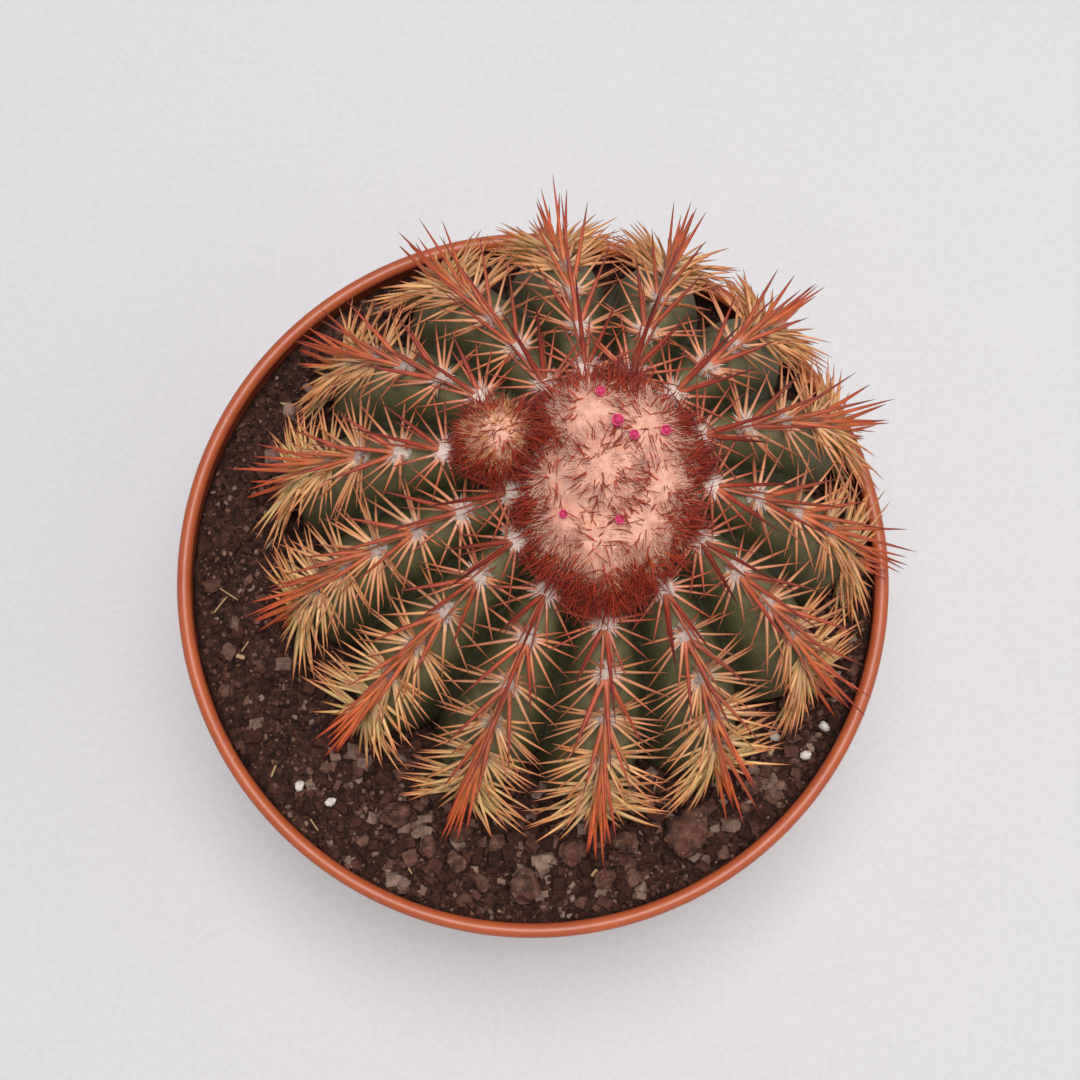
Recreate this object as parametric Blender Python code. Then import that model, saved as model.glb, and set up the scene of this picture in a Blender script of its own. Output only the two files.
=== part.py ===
"""A ribbed round cactus with a woolly crown, planted in a round plastic pot.

Metres, +Z up, the pot's foot standing on z = 0. The whole plant hangs from one set of shape
functions: stem_point() gives the ribbed skin, seat_height() the smooth hull over its ribs, and
soil, crowns, spine rows and flowers take their places from them.
"""

import math
import random

import bmesh
import bpy
from mathutils import Matrix, Vector, noise

# --- Shared ---------------------------------------------------------------------------------
CLEARANCE = 0.0003  # gap left between pieces that touch
TURN = 2 * math.pi

# --- Stem -----------------------------------------------------------------------------------
STEM_RADIUS = 0.0690  # out to the rib edges at the widest level
SHOULDER_HEIGHT = 0.0570  # widest level up to the growing tip
WAIST_LIFT = 0.0100  # widest level above the soil
ROOT_DEPTH = 0.0420  # buried part, down to the blunt root crown
ROOT_RADIUS = 0.0120
STEM_OFFSET = Vector((0.0075, 0.0105))  # the plant grows off the pot's centre
STEM_LEAN = Vector((0.10, 0.08))  # sideways travel for each metre of height
RIB_COUNT = 14
FIRST_RIB = math.radians(69)
FURROW_DEPTH = 0.0115
FURROW_SHAPE = 2.1  # 1 is a plain V; higher rounds the ribs and narrows the furrows
FURROW_START = (0.05, 0.60)  # shares of the stem's radius over which the furrows deepen
FURROW_FADE = (math.radians(100), math.radians(165))  # and die out again towards the root crown
STEM_POINTS_PER_RIB = 6
TIP_ARC = math.radians(4)  # the stem's mesh closes with a small flat this far from its tip
ROOT_ARC = math.radians(174)  # and with another at the root crown
STEM_LEVELS = (0.0, 0.10, 0.22, 0.34, 0.46, 0.58, 0.69, 0.79, 0.89, 1.0)  # rings from the tip to the waist
BURIED_LEVELS = (0.0, 0.16, 0.36, 0.60, 0.84, 1.0)  # rings from the soil to the root crown

# --- Pot ------------------------------------------------------------------------------------
SHOULDER_ROOM = 0.0081  # narrowest space between the rib edges and the pot's outline
RIM_RADIUS = STEM_OFFSET.length + STEM_RADIUS + SHOULDER_ROOM
POT_HEIGHT = 0.1280
BASE_RADIUS = 0.0640
POT_WALL = 0.0016
LIP_WIDTH = 0.0036
LIP_DEPTH = 0.8 * LIP_WIDTH  # underside of the lip below the rim
COLLAR_HEIGHT = 0.0240
COLLAR_INSET = 0.0007  # collar inside the lip's edge
COLLAR_DRAFT = 0.0008  # how much the collar narrows towards its step
COLLAR_STEP = 0.0014
FOOT_WIDTH = 0.0032
FOOT_BAND = 0.0050  # height up to which the wall stands nearly upright
FOOT_FLARE = 0.0007
FOOT_ROUNDING = (0.0008, 0.0018)  # rounded edge of the foot, in and up
FOOT_DRAFT = 0.0006
FLOOR_FILLET = 0.0024
FLOOR_LIFT = 0.0028  # underside of the floor above the foot
DRAIN_COUNT = 8
DRAIN_RADIUS = 0.0040
DRAIN_MARGIN = 0.0050  # drain holes to the foot ring
CENTRE_DRAIN_RADIUS = 0.0060
POT_STEPS = 60

# --- Soil -----------------------------------------------------------------------------------
SOIL_DROP = 0.0090  # soil surface below the rim
SOIL_ROUGHNESS = 0.0008
SOIL_BUMPS = 60.0  # bumps for each metre, along x and y
SOIL_LEVEL = POT_HEIGHT - SOIL_DROP

# --- Spines ---------------------------------------------------------------------------------
AREOLE_SPACING = 0.0118
AREOLE_LENGTH = 0.0042
AREOLE_WIDTH = 0.0040
AREOLE_HEIGHT = 0.0017
RIDGE_WIDTH = 0.0014  # corky rib edge that joins a row's areoles
RIDGE_HEIGHT = 0.0006
# Each kind of spine: how far it turns sideways, outwards and down the rib, and its length.
CENTRAL_SPINE = (0.00, 0.74, 0.62, 0.0210)
TRAILING_SPINE = (0.00, 0.42, 0.90, 0.0150)
SIDE_SPINE = (0.80, 0.50, 0.34, 0.0140)
SLANT_SPINE = (0.56, 0.42, 0.72, 0.0125)
SPINE_TRIM = 0.0005  # steps in which a spine is shortened until it fits
SPINE_CHECKS = 10  # places along a spine that are tried against the pot's lip
SECTOR_SHARE = 0.40  # side spines stay within this share of the rib pitch
SPINE_OVER_SOIL = 0.0045
LOWEST_AREOLE = 0.0085  # above the soil
RIM_PASSING = 0.0012  # spines that reach over the lip pass it this high

# --- Crowns and flowers ---------------------------------------------------------------------
CROWN_OFFSET = Vector((0.0025, -0.0050))  # from the growing tip
CROWN_HALF_WIDTH = 0.0192
CROWN_HALF_LENGTH = 0.0246
CROWN_HEIGHT = 0.0170
CROWN_FOOT = 0.0008  # upright edge of the wool at its foot
CROWN_WAVES = ((0.035, 3, 0.6), (0.025, 7, 0.0))  # outline's lobes: size, how many and turn
CROWN_NOTCH = 0.14  # how far the outline draws in beside the small crown
CROWN_NOTCH_WIDTH = 0.42
DOME_SHAPE = 2.4  # 2 is a plain dome; higher is flatter on top
CROWN_LOBE = 0.0013  # rise and fall of the wool's top
LOBES_PER_METRE = 130.0
UNDER_RINGS = (0.25, 0.65, 0.97)
OVER_RINGS = (1.0, 0.94, 0.82, 0.62, 0.40, 0.18)
CROWN_MARGIN = 0.0030  # crown's outline to the first areole
SIDE_HEAD_BEARING = math.radians(157)
SIDE_HEAD_RADIUS = 0.0083
SIDE_HEAD_HEIGHT = 0.0125
SIDE_HEAD_GAP = 0.0006
FLOWER_HEIGHT = 0.0052
FLOWER_RADIUS = 0.0021
FLOWER_POINTS = 6
# Where each flower stands on the crown: share of the crown's half width and length, and its size.
FLOWERS = (
    (0.08, 0.42, 1.00),
    (0.26, 0.30, 0.80),
    (0.62, 0.36, 0.85),
    (-0.10, 0.72, 0.80),
    (0.10, -0.42, 0.75),
    (-0.52, -0.36, 0.70),
)

# --- Loose grains ---------------------------------------------------------------------------
# An arc is the lowest and highest bearing in degrees; a belt the shares of the way from stem to pot.
STONE_COUNT = 11
STONE_SIZE = (0.0024, 0.0042)  # smallest and largest half length
STONE_FLATNESS = 0.60
STONE_ARC = (-128, -38)
STONE_BELT = (0.30, 0.66)
LARGE_STONE = 0.0066
LARGE_STONE_FLATNESS = 0.48
LARGE_STONE_PLACE = (-59, 0.48)
LARGE_STONE_TURN = 1.2
GRAIN_COUNT = 5
GRAIN_SIZE = 0.0016
GRAIN_FLATNESS = 0.62
GRAIN_ARC = (-150, -25)
GRAIN_BELT = (0.20, 0.80)
LUMP_NARROWNESS = 0.74  # width of a stone or grain over its length
LUMP_ROUGHNESS = 0.38
LUMPS_APART = 1.3  # distance between two over the sum of their half lengths
SEARCH_STEP = 0.0005
MOST_TRIES = 2000
SEED = 14


# --- Shape of the stem ----------------------------------------------------------------------
def smooth_step(low, high, value):
    share = min(1.0, max(0.0, (value - low) / (high - low)))
    return share * share * (3 - 2 * share)


def axis_at(height):
    """Centre of the leaning stem at a height above the floor."""
    centre = STEM_OFFSET + STEM_LEAN * (height - SOIL_LEVEL)
    return Vector((centre.x, centre.y, height))


def stem_profile(arc):
    """Radius and height of the rib edges; arc runs from 0 at the tip to pi at the root crown."""
    waist = SOIL_LEVEL + WAIST_LIFT
    if arc <= math.pi / 2:
        return STEM_RADIUS * math.sin(arc), waist + SHOULDER_HEIGHT * math.cos(arc)
    low = arc - math.pi / 2
    radius = ROOT_RADIUS + (STEM_RADIUS - ROOT_RADIUS) * math.cos(low)
    return radius, waist - (WAIST_LIFT + ROOT_DEPTH) * math.sin(low)


def furrow(bearing):
    """0 on a rib's edge, 1 at the bottom of the furrow beside it."""
    pitch = TURN / RIB_COUNT
    across = abs(((bearing - FIRST_RIB) / pitch + 0.5) % 1.0 - 0.5) * 2
    return across**FURROW_SHAPE


def stem_point(bearing, arc, out=0.0):
    """A point of the ribbed skin, moved outwards by `out`."""
    radius, height = stem_profile(arc)
    if arc <= math.pi / 2:
        lean_in = Vector((SHOULDER_HEIGHT * math.sin(arc), STEM_RADIUS * math.cos(arc))).normalized()
    else:
        lean_in = Vector((1.0, 0.0))
    above = smooth_step(*FURROW_START, radius / STEM_RADIUS)
    below = 1 - smooth_step(*FURROW_FADE, arc)
    depth = FURROW_DEPTH * furrow(bearing) * above * below
    centre = axis_at(height)
    reach = radius - (depth - out) * lean_in.x
    return Vector(
        (
            centre.x + reach * math.cos(bearing),
            centre.y + reach * math.sin(bearing),
            height - (depth - out) * lean_in.y,
        )
    )


def seat_height(x, y):
    """Height of the smooth hull over the ribs, above a point of the plan near the tip."""
    height = SOIL_LEVEL + WAIST_LIFT + SHOULDER_HEIGHT
    for _ in range(12):
        centre = axis_at(height)
        radius = min(0.98, math.hypot(x - centre.x, y - centre.y) / STEM_RADIUS)
        height = SOIL_LEVEL + WAIST_LIFT + SHOULDER_HEIGHT * math.sqrt(1 - radius * radius)
    return height


def soil_arc():
    """The arc at which the stem passes through the soil's surface."""
    return math.pi / 2 + math.asin(WAIST_LIFT / (WAIST_LIFT + ROOT_DEPTH))


# --- Building helpers -----------------------------------------------------------------------
def material(name, colour, roughness):
    made = bpy.data.materials.new(name)
    made.use_nodes = True
    shader = made.node_tree.nodes["Principled BSDF"]
    shader.inputs["Base Color"].default_value = (*colour, 1.0)
    shader.inputs["Roughness"].default_value = roughness
    shader.inputs["Metallic"].default_value = 0.0
    return made


def finish(bm, name, look, place, parent, sharp=math.radians(40)):
    """Moves the mesh to its own origin, closes it into an object and hangs it from its parent."""
    bmesh.ops.recalc_face_normals(bm, faces=bm.faces)
    bmesh.ops.translate(bm, verts=bm.verts, vec=-place)
    mesh = bpy.data.meshes.new(name)
    bm.to_mesh(mesh)
    bm.free()
    mesh.shade_smooth()
    mesh.set_sharp_from_angle(angle=sharp)
    mesh.materials.append(look)
    made = bpy.data.objects.new(name, mesh)
    bpy.context.scene.collection.objects.link(made)
    made.location = place
    made.parent = parent
    return made


def loft(bm, rings):
    """Extrudes a ring of edges through the given rings of points and closes both ends."""
    verts = bmesh.ops.create_circle(bm, segments=len(rings[0]), radius=1.0)["verts"]
    edges = [edge for edge in bm.edges if edge.verts[0] in verts]
    for vert, point in zip(verts, rings[0]):
        vert.co = point
    bmesh.ops.contextual_create(bm, geom=edges)
    for ring in rings[1:]:
        grown = bmesh.ops.extrude_edge_only(bm, edges=edges)["geom"]
        above = {}
        for vert in (item for item in grown if isinstance(item, bmesh.types.BMVert)):
            for edge in vert.link_edges:
                if edge.other_vert(vert) in verts:
                    above[edge.other_vert(vert)] = vert
        verts = [above[vert] for vert in verts]
        edges = [item for item in grown if isinstance(item, bmesh.types.BMEdge)]
        for vert, point in zip(verts, ring):
            vert.co = point
    edges = [edge for edge in edges if edge.verts[0] in verts and edge.verts[1] in verts]
    bmesh.ops.contextual_create(bm, geom=edges)


def split_quads(bm):
    """Cuts every quad along its shorter diagonal, so that a ribbed skin and its socket stay parallel."""
    quads = [face for face in bm.faces if len(face.verts) == 4]
    bmesh.ops.triangulate(bm, faces=quads, quad_method="SHORT_EDGE")


# --- Pot ------------------------------------------------------------------------------------
def pot_outer_wall():
    """Outer side from under the lip down to the foot, as radius and height."""
    collar = RIM_RADIUS - COLLAR_INSET
    foot = POT_HEIGHT - COLLAR_HEIGHT
    return [
        (collar, POT_HEIGHT - LIP_DEPTH),
        (collar - COLLAR_DRAFT, foot + COLLAR_STEP),
        (collar - COLLAR_DRAFT - COLLAR_STEP, foot),
        (BASE_RADIUS + FOOT_FLARE, FOOT_BAND),
        (BASE_RADIUS, FOOT_ROUNDING[1]),
        (BASE_RADIUS - FOOT_ROUNDING[0], 0.0),
    ]


def pot_inner_wall():
    """Inner side from the floor up to the lip, a wall's thickness inside the outer one."""
    collar = RIM_RADIUS - COLLAR_INSET - POT_WALL
    foot = POT_HEIGHT - COLLAR_HEIGHT
    floor = FLOOR_LIFT + POT_WALL
    return [
        (BASE_RADIUS - POT_WALL - FLOOR_FILLET, floor),
        (BASE_RADIUS - POT_WALL, floor + FLOOR_FILLET),
        (collar - COLLAR_DRAFT - COLLAR_STEP, foot),
        (collar - COLLAR_DRAFT, foot + COLLAR_STEP),
        (collar, POT_HEIGHT - LIP_DEPTH),
    ]


def build_pot(look, parent):
    """A turned profile whose inner loop leaves the middle drain hole, with more holes cut round it."""
    lip = LIP_WIDTH / 2
    bead = [
        (
            RIM_RADIUS - lip + lip * math.cos(math.radians(turn)),
            POT_HEIGHT - lip + lip * math.sin(math.radians(turn)),
        )
        for turn in (190, 150, 115, 80, 45, 10, -30)
    ]
    floor = FLOOR_LIFT + POT_WALL
    base = [
        (BASE_RADIUS - FOOT_WIDTH, 0.0),
        (BASE_RADIUS - FOOT_WIDTH - FOOT_DRAFT, FLOOR_LIFT),
        (CENTRE_DRAIN_RADIUS, FLOOR_LIFT),
        (CENTRE_DRAIN_RADIUS, floor),
    ]
    profile = bead + pot_outer_wall() + base + pot_inner_wall()
    bm = bmesh.new()
    verts = [bm.verts.new((radius, 0.0, height)) for radius, height in profile]
    edges = [bm.edges.new((verts[i - 1], verts[i])) for i in range(len(verts))]
    bmesh.ops.spin(
        bm,
        geom=verts + edges,
        cent=(0, 0, 0),
        axis=(0, 0, 1),
        angle=TURN,
        steps=POT_STEPS,
        use_merge=True,
    )
    pot = finish(bm, "pot", look, Vector((0, 0, 0)), parent, math.radians(35))

    circle = BASE_RADIUS - FOOT_WIDTH - DRAIN_MARGIN - DRAIN_RADIUS
    cutters = bmesh.new()
    for i in range(DRAIN_COUNT):
        turned = Matrix.Rotation(TURN * (i + 0.5) / DRAIN_COUNT, 4, "Z")
        bmesh.ops.create_cone(
            cutters,
            cap_ends=True,
            segments=12,
            radius1=DRAIN_RADIUS,
            radius2=DRAIN_RADIUS,
            depth=4 * floor,
            matrix=turned @ Matrix.Translation((circle, 0, floor)),
        )
    drill = finish(cutters, "drain_drill", look, Vector((0, 0, 0)), parent)
    drill.hide_render = True
    drill.display_type = "WIRE"
    cut = pot.modifiers.new("drain_holes", "BOOLEAN")
    cut.operation = "DIFFERENCE"
    cut.object = drill
    return pot


# --- Soil and stem --------------------------------------------------------------------------
def bearings():
    count = RIB_COUNT * STEM_POINTS_PER_RIB
    return [FIRST_RIB + TURN * i / count for i in range(count)]


def buried_arcs():
    """Arcs of the stem's rings from the soil's surface down to the root crown."""
    start = soil_arc()
    return [start + (ROOT_ARC - start) * share for share in BURIED_LEVELS]


def build_stem(look, parent):
    arcs = [TIP_ARC + (math.pi / 2 - TIP_ARC) * share for share in STEM_LEVELS] + buried_arcs()
    bm = bmesh.new()
    loft(bm, [[stem_point(turn, arc) for turn in bearings()] for arc in arcs])
    split_quads(bm)
    return finish(bm, "stem", look, axis_at(SOIL_LEVEL), parent, math.radians(75))


def soil_top(wall, collar, share):
    """A point of the soil's surface between the pot's wall and the stem."""
    spot = wall.lerp(collar, share)
    swell = math.sin(math.pi * share) * noise.noise(Vector((spot.x * SOIL_BUMPS, spot.y * SOIL_BUMPS, 1.5)))
    return Vector((spot.x, spot.y, SOIL_LEVEL + SOIL_ROUGHNESS * swell))


def build_soil(look, parent):
    """Fills the pot up to the soil level and leaves a hollow that fits the buried stem."""
    walls = [(radius - CLEARANCE, height) for radius, height in pot_inner_wall()]
    below = [(radius, height + CLEARANCE) for radius, height in walls if height < SOIL_LEVEL]
    top_radius = walls[-1][0] - COLLAR_DRAFT / 2
    rings = [
        [Vector((radius * math.cos(turn), radius * math.sin(turn), height)) for turn in bearings()]
        for radius, height in below + [(top_radius, SOIL_LEVEL)]
    ]
    buried = buried_arcs()
    socket = [
        [stem_point(turn, arc, out=CLEARANCE) for turn in bearings()]
        for arc in buried
    ]
    for point in socket[-1]:
        point.z -= CLEARANCE
    for share in (0.25, 0.5, 0.75):
        rings.append([soil_top(wall, edge, share) for wall, edge in zip(rings[len(below)], socket[0])])
    bm = bmesh.new()
    loft(bm, rings + socket)
    split_quads(bm)
    return finish(bm, "soil", look, Vector((0, 0, SOIL_LEVEL)), parent)


# --- Crowns ---------------------------------------------------------------------------------
def crown_centre():
    tip = axis_at(SOIL_LEVEL + WAIST_LIFT + SHOULDER_HEIGHT)
    return Vector((tip.x + CROWN_OFFSET.x, tip.y + CROWN_OFFSET.y))


def crown_reach(bearing):
    """Lobed outline of the main crown, drawn in where the small crown stands beside it."""
    oval = 1 / math.hypot(math.cos(bearing) / CROWN_HALF_WIDTH, math.sin(bearing) / CROWN_HALF_LENGTH)
    lobes = 1 + sum(size * math.sin(count * bearing + turn) for size, count, turn in CROWN_WAVES)
    apart = math.remainder(bearing - SIDE_HEAD_BEARING, TURN)
    return oval * lobes * (1 - CROWN_NOTCH * math.exp(-((apart / CROWN_NOTCH_WIDTH) ** 2)))


def side_head_centre():
    reach = crown_reach(SIDE_HEAD_BEARING) + SIDE_HEAD_RADIUS + SIDE_HEAD_GAP
    return crown_centre() + reach * Vector((math.cos(SIDE_HEAD_BEARING), math.sin(SIDE_HEAD_BEARING)))


def side_head_reach(bearing):
    return SIDE_HEAD_RADIUS * (1 - 0.03 * math.cos(4 * bearing) ** 2)


def dome_top(centre, reach, height, lobe, bearing, share):
    """A point on a woolly dome that stands on the stem; share is 1 at its foot and 0 at its top."""
    out = reach(bearing) * share
    x = centre.x + out * math.cos(bearing)
    y = centre.y + out * math.sin(bearing)
    rise = height * math.sqrt(max(0.0, 1 - share**DOME_SHAPE))
    bumps = lobe * (1 - share) * noise.noise(Vector((x * LOBES_PER_METRE, y * LOBES_PER_METRE, 0.3)))
    return Vector((x, y, seat_height(x, y) + CLEARANCE + CROWN_FOOT + rise + bumps))


def build_dome(name, centre, reach, height, lobe, points, look, parent):
    turns = [TURN * i / points for i in range(points)]
    under = []
    for share in UNDER_RINGS:
        ring = [dome_top(centre, reach, 0.0, 0.0, turn, share) for turn in turns]
        for point in ring:
            point.z = seat_height(point.x, point.y) + CLEARANCE
        under.append(ring)
    over = [
        [dome_top(centre, reach, height, lobe, turn, share) for turn in turns]
        for share in OVER_RINGS
    ]
    bm = bmesh.new()
    loft(bm, under + over)
    middle = Vector((centre.x, centre.y, seat_height(centre.x, centre.y)))
    return finish(bm, name, look, middle, parent, math.radians(60))


def build_flower(index, across, along, size, look, parent):
    """A small pointed star standing on the wool, narrow at the foot and open at the mouth."""
    centre = crown_centre()
    x = centre.x + across * CROWN_HALF_WIDTH
    y = centre.y + along * CROWN_HALF_LENGTH
    turns = [TURN * i / (2 * FLOWER_POINTS) for i in range(2 * FLOWER_POINTS)]
    radius = FLOWER_RADIUS * size

    def wool_under(reach, turn):
        spot = Vector((x + reach * math.cos(turn), y + reach * math.sin(turn))) - centre
        bearing = math.atan2(spot.y, spot.x)
        share = spot.length / crown_reach(bearing)
        return dome_top(centre, crown_reach, CROWN_HEIGHT, CROWN_LOBE, bearing, share).z

    foot = max(wool_under(radius * 0.8, turn) for turn in turns) + 2 * CLEARANCE
    steps = ((0.50, 0.0, 0.0), (0.62, 0.0, 0.45), (0.72, 0.28, 1.0), (0.30, 0.0, 0.72))
    rings = []
    for base, star, rise in steps:
        rings.append(
            [
                Vector(
                    (
                        x + radius * (base + star * (-1) ** i) * math.cos(turn),
                        y + radius * (base + star * (-1) ** i) * math.sin(turn),
                        foot + FLOWER_HEIGHT * size * (rise + 0.12 * star * (-1) ** i),
                    )
                )
                for i, turn in enumerate(turns)
            ]
        )
    bm = bmesh.new()
    loft(bm, rings)
    return finish(bm, f"flower_{index}", look, Vector((x, y, foot)), parent)


# --- Spine rows -----------------------------------------------------------------------------
def rib_frame(bearing, arc):
    """Point on a rib's edge with its outward, downward and sideways directions."""
    step = 0.002
    point = stem_point(bearing, arc)
    down = (stem_point(bearing, arc + step) - stem_point(bearing, arc - step)).normalized()
    around = Vector((-math.sin(bearing), math.cos(bearing), 0.0))
    outward = around.cross(down).normalized()
    if outward.dot(point - axis_at(SOIL_LEVEL)) < 0:
        outward = -outward
    return point, outward, down, around


def clear_of_crowns(point):
    """True where a rib's edge has left both woolly crowns behind."""
    for centre, reach in ((crown_centre(), crown_reach), (side_head_centre(), side_head_reach)):
        spot = Vector((point.x, point.y)) - centre
        if spot.length < reach(math.atan2(spot.y, spot.x)) + CROWN_MARGIN:
            return False
    return True


def areole_arcs(bearing):
    """Evenly spaced places down a rib's edge, from beside the crown to just above the soil."""
    step = 0.004
    arc = math.radians(12)
    while not clear_of_crowns(stem_point(bearing, arc)):
        arc += step
    arcs = [arc]
    travelled = 0.0
    here = stem_point(bearing, arc)
    while here.z > SOIL_LEVEL + LOWEST_AREOLE:
        arc += step
        onward = stem_point(bearing, arc)
        travelled += (onward - here).length
        here = onward
        if travelled >= AREOLE_SPACING and here.z > SOIL_LEVEL + LOWEST_AREOLE:
            arcs.append(arc)
            travelled = 0.0
    return arcs


def spine_fits(tip, root, bearing):
    """True when a spine keeps to its rib's sector, off the soil and clear of the pot."""
    flat = tip - axis_at(tip.z)
    apart = abs(math.remainder(math.atan2(flat.y, flat.x) - bearing, TURN))
    if apart > SECTOR_SHARE * TURN / RIB_COUNT:
        return False
    if tip.z < SOIL_LEVEL + SPINE_OVER_SOIL:
        return False
    inside = RIM_RADIUS - LIP_WIDTH - RIM_PASSING
    for part in range(SPINE_CHECKS + 1):
        spot = root.lerp(tip, part / SPINE_CHECKS)
        if math.hypot(spot.x, spot.y) > inside and spot.z < POT_HEIGHT + RIM_PASSING:
            return False
    return True


def spine_tip(root, direction, length, bearing):
    """Tip of a spine, shortened in small steps until it fits."""
    direction = direction.normalized()
    while not spine_fits(root + direction * length, root, bearing) and length > AREOLE_HEIGHT:
        length -= SPINE_TRIM
    return root + direction * length


def build_spine_row(index, look, parent):
    """One closed body: a low corky ridge down the rib's edge with a pad at each areole. The pads'
    faces are poked and their middles drawn out into spines."""
    bearing = FIRST_RIB - TURN * (index - 1) / RIB_COUNT
    low = (RIDGE_WIDTH, RIDGE_HEIGHT)
    high = (AREOLE_WIDTH, AREOLE_HEIGHT)
    frames = []
    rings = []
    for arc in areole_arcs(bearing):
        frames.append(rib_frame(bearing, arc))
        radius = (stem_point(bearing, arc + 0.01) - stem_point(bearing, arc - 0.01)).length / 0.02
        for along, (width, height) in ((-0.5, low), (-0.2, high), (0.2, high), (0.5, low)):
            point, outward, _, around = rib_frame(bearing, arc + along * AREOLE_LENGTH / radius)
            rings.append(
                [
                    point + around * (side * width / 2) + outward * (CLEARANCE + rise * height)
                    for side, rise in ((-1, 0.0), (-0.62, 1.0), (0.62, 1.0), (1, 0.0))
                ]
            )
    bm = bmesh.new()
    loft(bm, rings)
    bmesh.ops.recalc_face_normals(bm, faces=bm.faces)
    bm.faces.ensure_lookup_table()

    fans = []
    for point, outward, down, around in frames:
        pad = [face for face in bm.faces
               if len(face.verts) == 4 and (face.calc_center_median() - point).length < AREOLE_LENGTH * 0.62]
        for face in pad:
            middle = face.calc_center_median() - point
            side = middle.dot(around) / AREOLE_WIDTH
            fall = middle.dot(down) / AREOLE_LENGTH
            if middle.dot(outward) < CLEARANCE * 1.5 or fall < -0.2:
                continue
            turned = 0.0 if abs(side) < 0.2 else math.copysign(1.0, side)
            if fall < 0.2:
                kind = CENTRAL_SPINE if turned == 0.0 else SIDE_SPINE
            else:
                kind = TRAILING_SPINE if turned == 0.0 else SLANT_SPINE
            aside, forward, along, length = kind
            fans.append((face, around * turned * aside + outward * forward + down * along, length))
    tips = [spine_tip(face.calc_center_median(), way, length, bearing) for face, way, length in fans]
    poked = [bmesh.ops.poke(bm, faces=[face])["verts"][0] for face, _, _ in fans]
    for vert, tip in zip(poked, tips):
        vert.co = tip
    return finish(bm, f"spine_row_{index:02d}", look, frames[0][0], parent, math.radians(30))


# --- Loose grains ---------------------------------------------------------------------------
def build_lump(name, spot, size, flatness, turn, detail, look, parent):
    """A rough stone or grain resting on the soil."""
    bm = bmesh.new()
    bmesh.ops.create_icosphere(bm, subdivisions=detail, radius=size)
    for vert in bm.verts:
        bump = noise.noise(vert.co * (0.9 / size) + Vector((spot.x, spot.y, 0)) * 900)
        vert.co *= 1 + LUMP_ROUGHNESS * bump
    stretch = Matrix.Diagonal((1.0, LUMP_NARROWNESS, flatness, 1.0))
    bmesh.ops.transform(bm, verts=bm.verts, matrix=Matrix.Rotation(turn, 4, "Z") @ stretch)
    lift = SOIL_LEVEL + SOIL_ROUGHNESS / 2 + CLEARANCE - min(vert.co.z for vert in bm.verts)
    place = Vector((spot.x, spot.y, lift))
    bmesh.ops.translate(bm, verts=bm.verts, vec=place)
    return finish(bm, name, look, place, parent, math.radians(30))


def free_soil_spot(bearing, share):
    """A place on the soil between the stem and the pot's wall, on a bearing from the pot's centre."""
    inner = pot_inner_wall()[-1][0]
    heading = Vector((math.cos(bearing), math.sin(bearing)))
    reach = 0.0
    while (heading * reach - STEM_OFFSET).length < STEM_RADIUS:
        reach += SEARCH_STEP
    return heading * (reach + (inner - reach) * share)


def next_lump(draw, arc, belt, sizes, taken):
    """A drawn size, place and turn that keep clear of the places taken."""
    for _ in range(MOST_TRIES):
        size = draw.uniform(*sizes) if sizes[0] < sizes[1] else sizes[0]
        spot = free_soil_spot(math.radians(draw.uniform(*arc)), draw.uniform(*belt))
        turn = draw.uniform(0, math.pi)
        if all((spot - other).length > (size + far) * LUMPS_APART for other, far in taken):
            break
    taken.append((spot, size))
    return size, spot, turn


def build_lumps(looks, parent):
    """Lava stones along the front and right, perlite grains between them."""
    draw = random.Random(SEED)
    bearing, share = LARGE_STONE_PLACE
    spot = free_soil_spot(math.radians(bearing), share)
    taken = [(spot, LARGE_STONE)]
    stone, perlite = looks["lava_stone"], looks["perlite"]
    build_lump("lava_stone_01", spot, LARGE_STONE, LARGE_STONE_FLATNESS, LARGE_STONE_TURN, 2, stone, parent)
    for index in range(2, STONE_COUNT + 1):
        size, spot, turn = next_lump(draw, STONE_ARC, STONE_BELT, STONE_SIZE, taken)
        build_lump(f"lava_stone_{index:02d}", spot, size, STONE_FLATNESS, turn, 2, stone, parent)
    for index in range(1, GRAIN_COUNT + 1):
        size, spot, turn = next_lump(draw, GRAIN_ARC, GRAIN_BELT, (GRAIN_SIZE, GRAIN_SIZE), taken)
        build_lump(f"perlite_grain_{index}", spot, size, GRAIN_FLATNESS, turn, 1, perlite, parent)


# --- Assembly -------------------------------------------------------------------------------
def stand_on_middle(root):
    """Puts the middle of the finished plant's outline over the origin."""
    bpy.context.view_layer.update()
    corners = [
        child.matrix_world @ Vector(corner)
        for child in root.children
        if not child.hide_render
        for corner in child.bound_box
    ]
    root.location.x = -(min(c.x for c in corners) + max(c.x for c in corners)) / 2
    root.location.y = -(min(c.y for c in corners) + max(c.y for c in corners)) / 2


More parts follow.
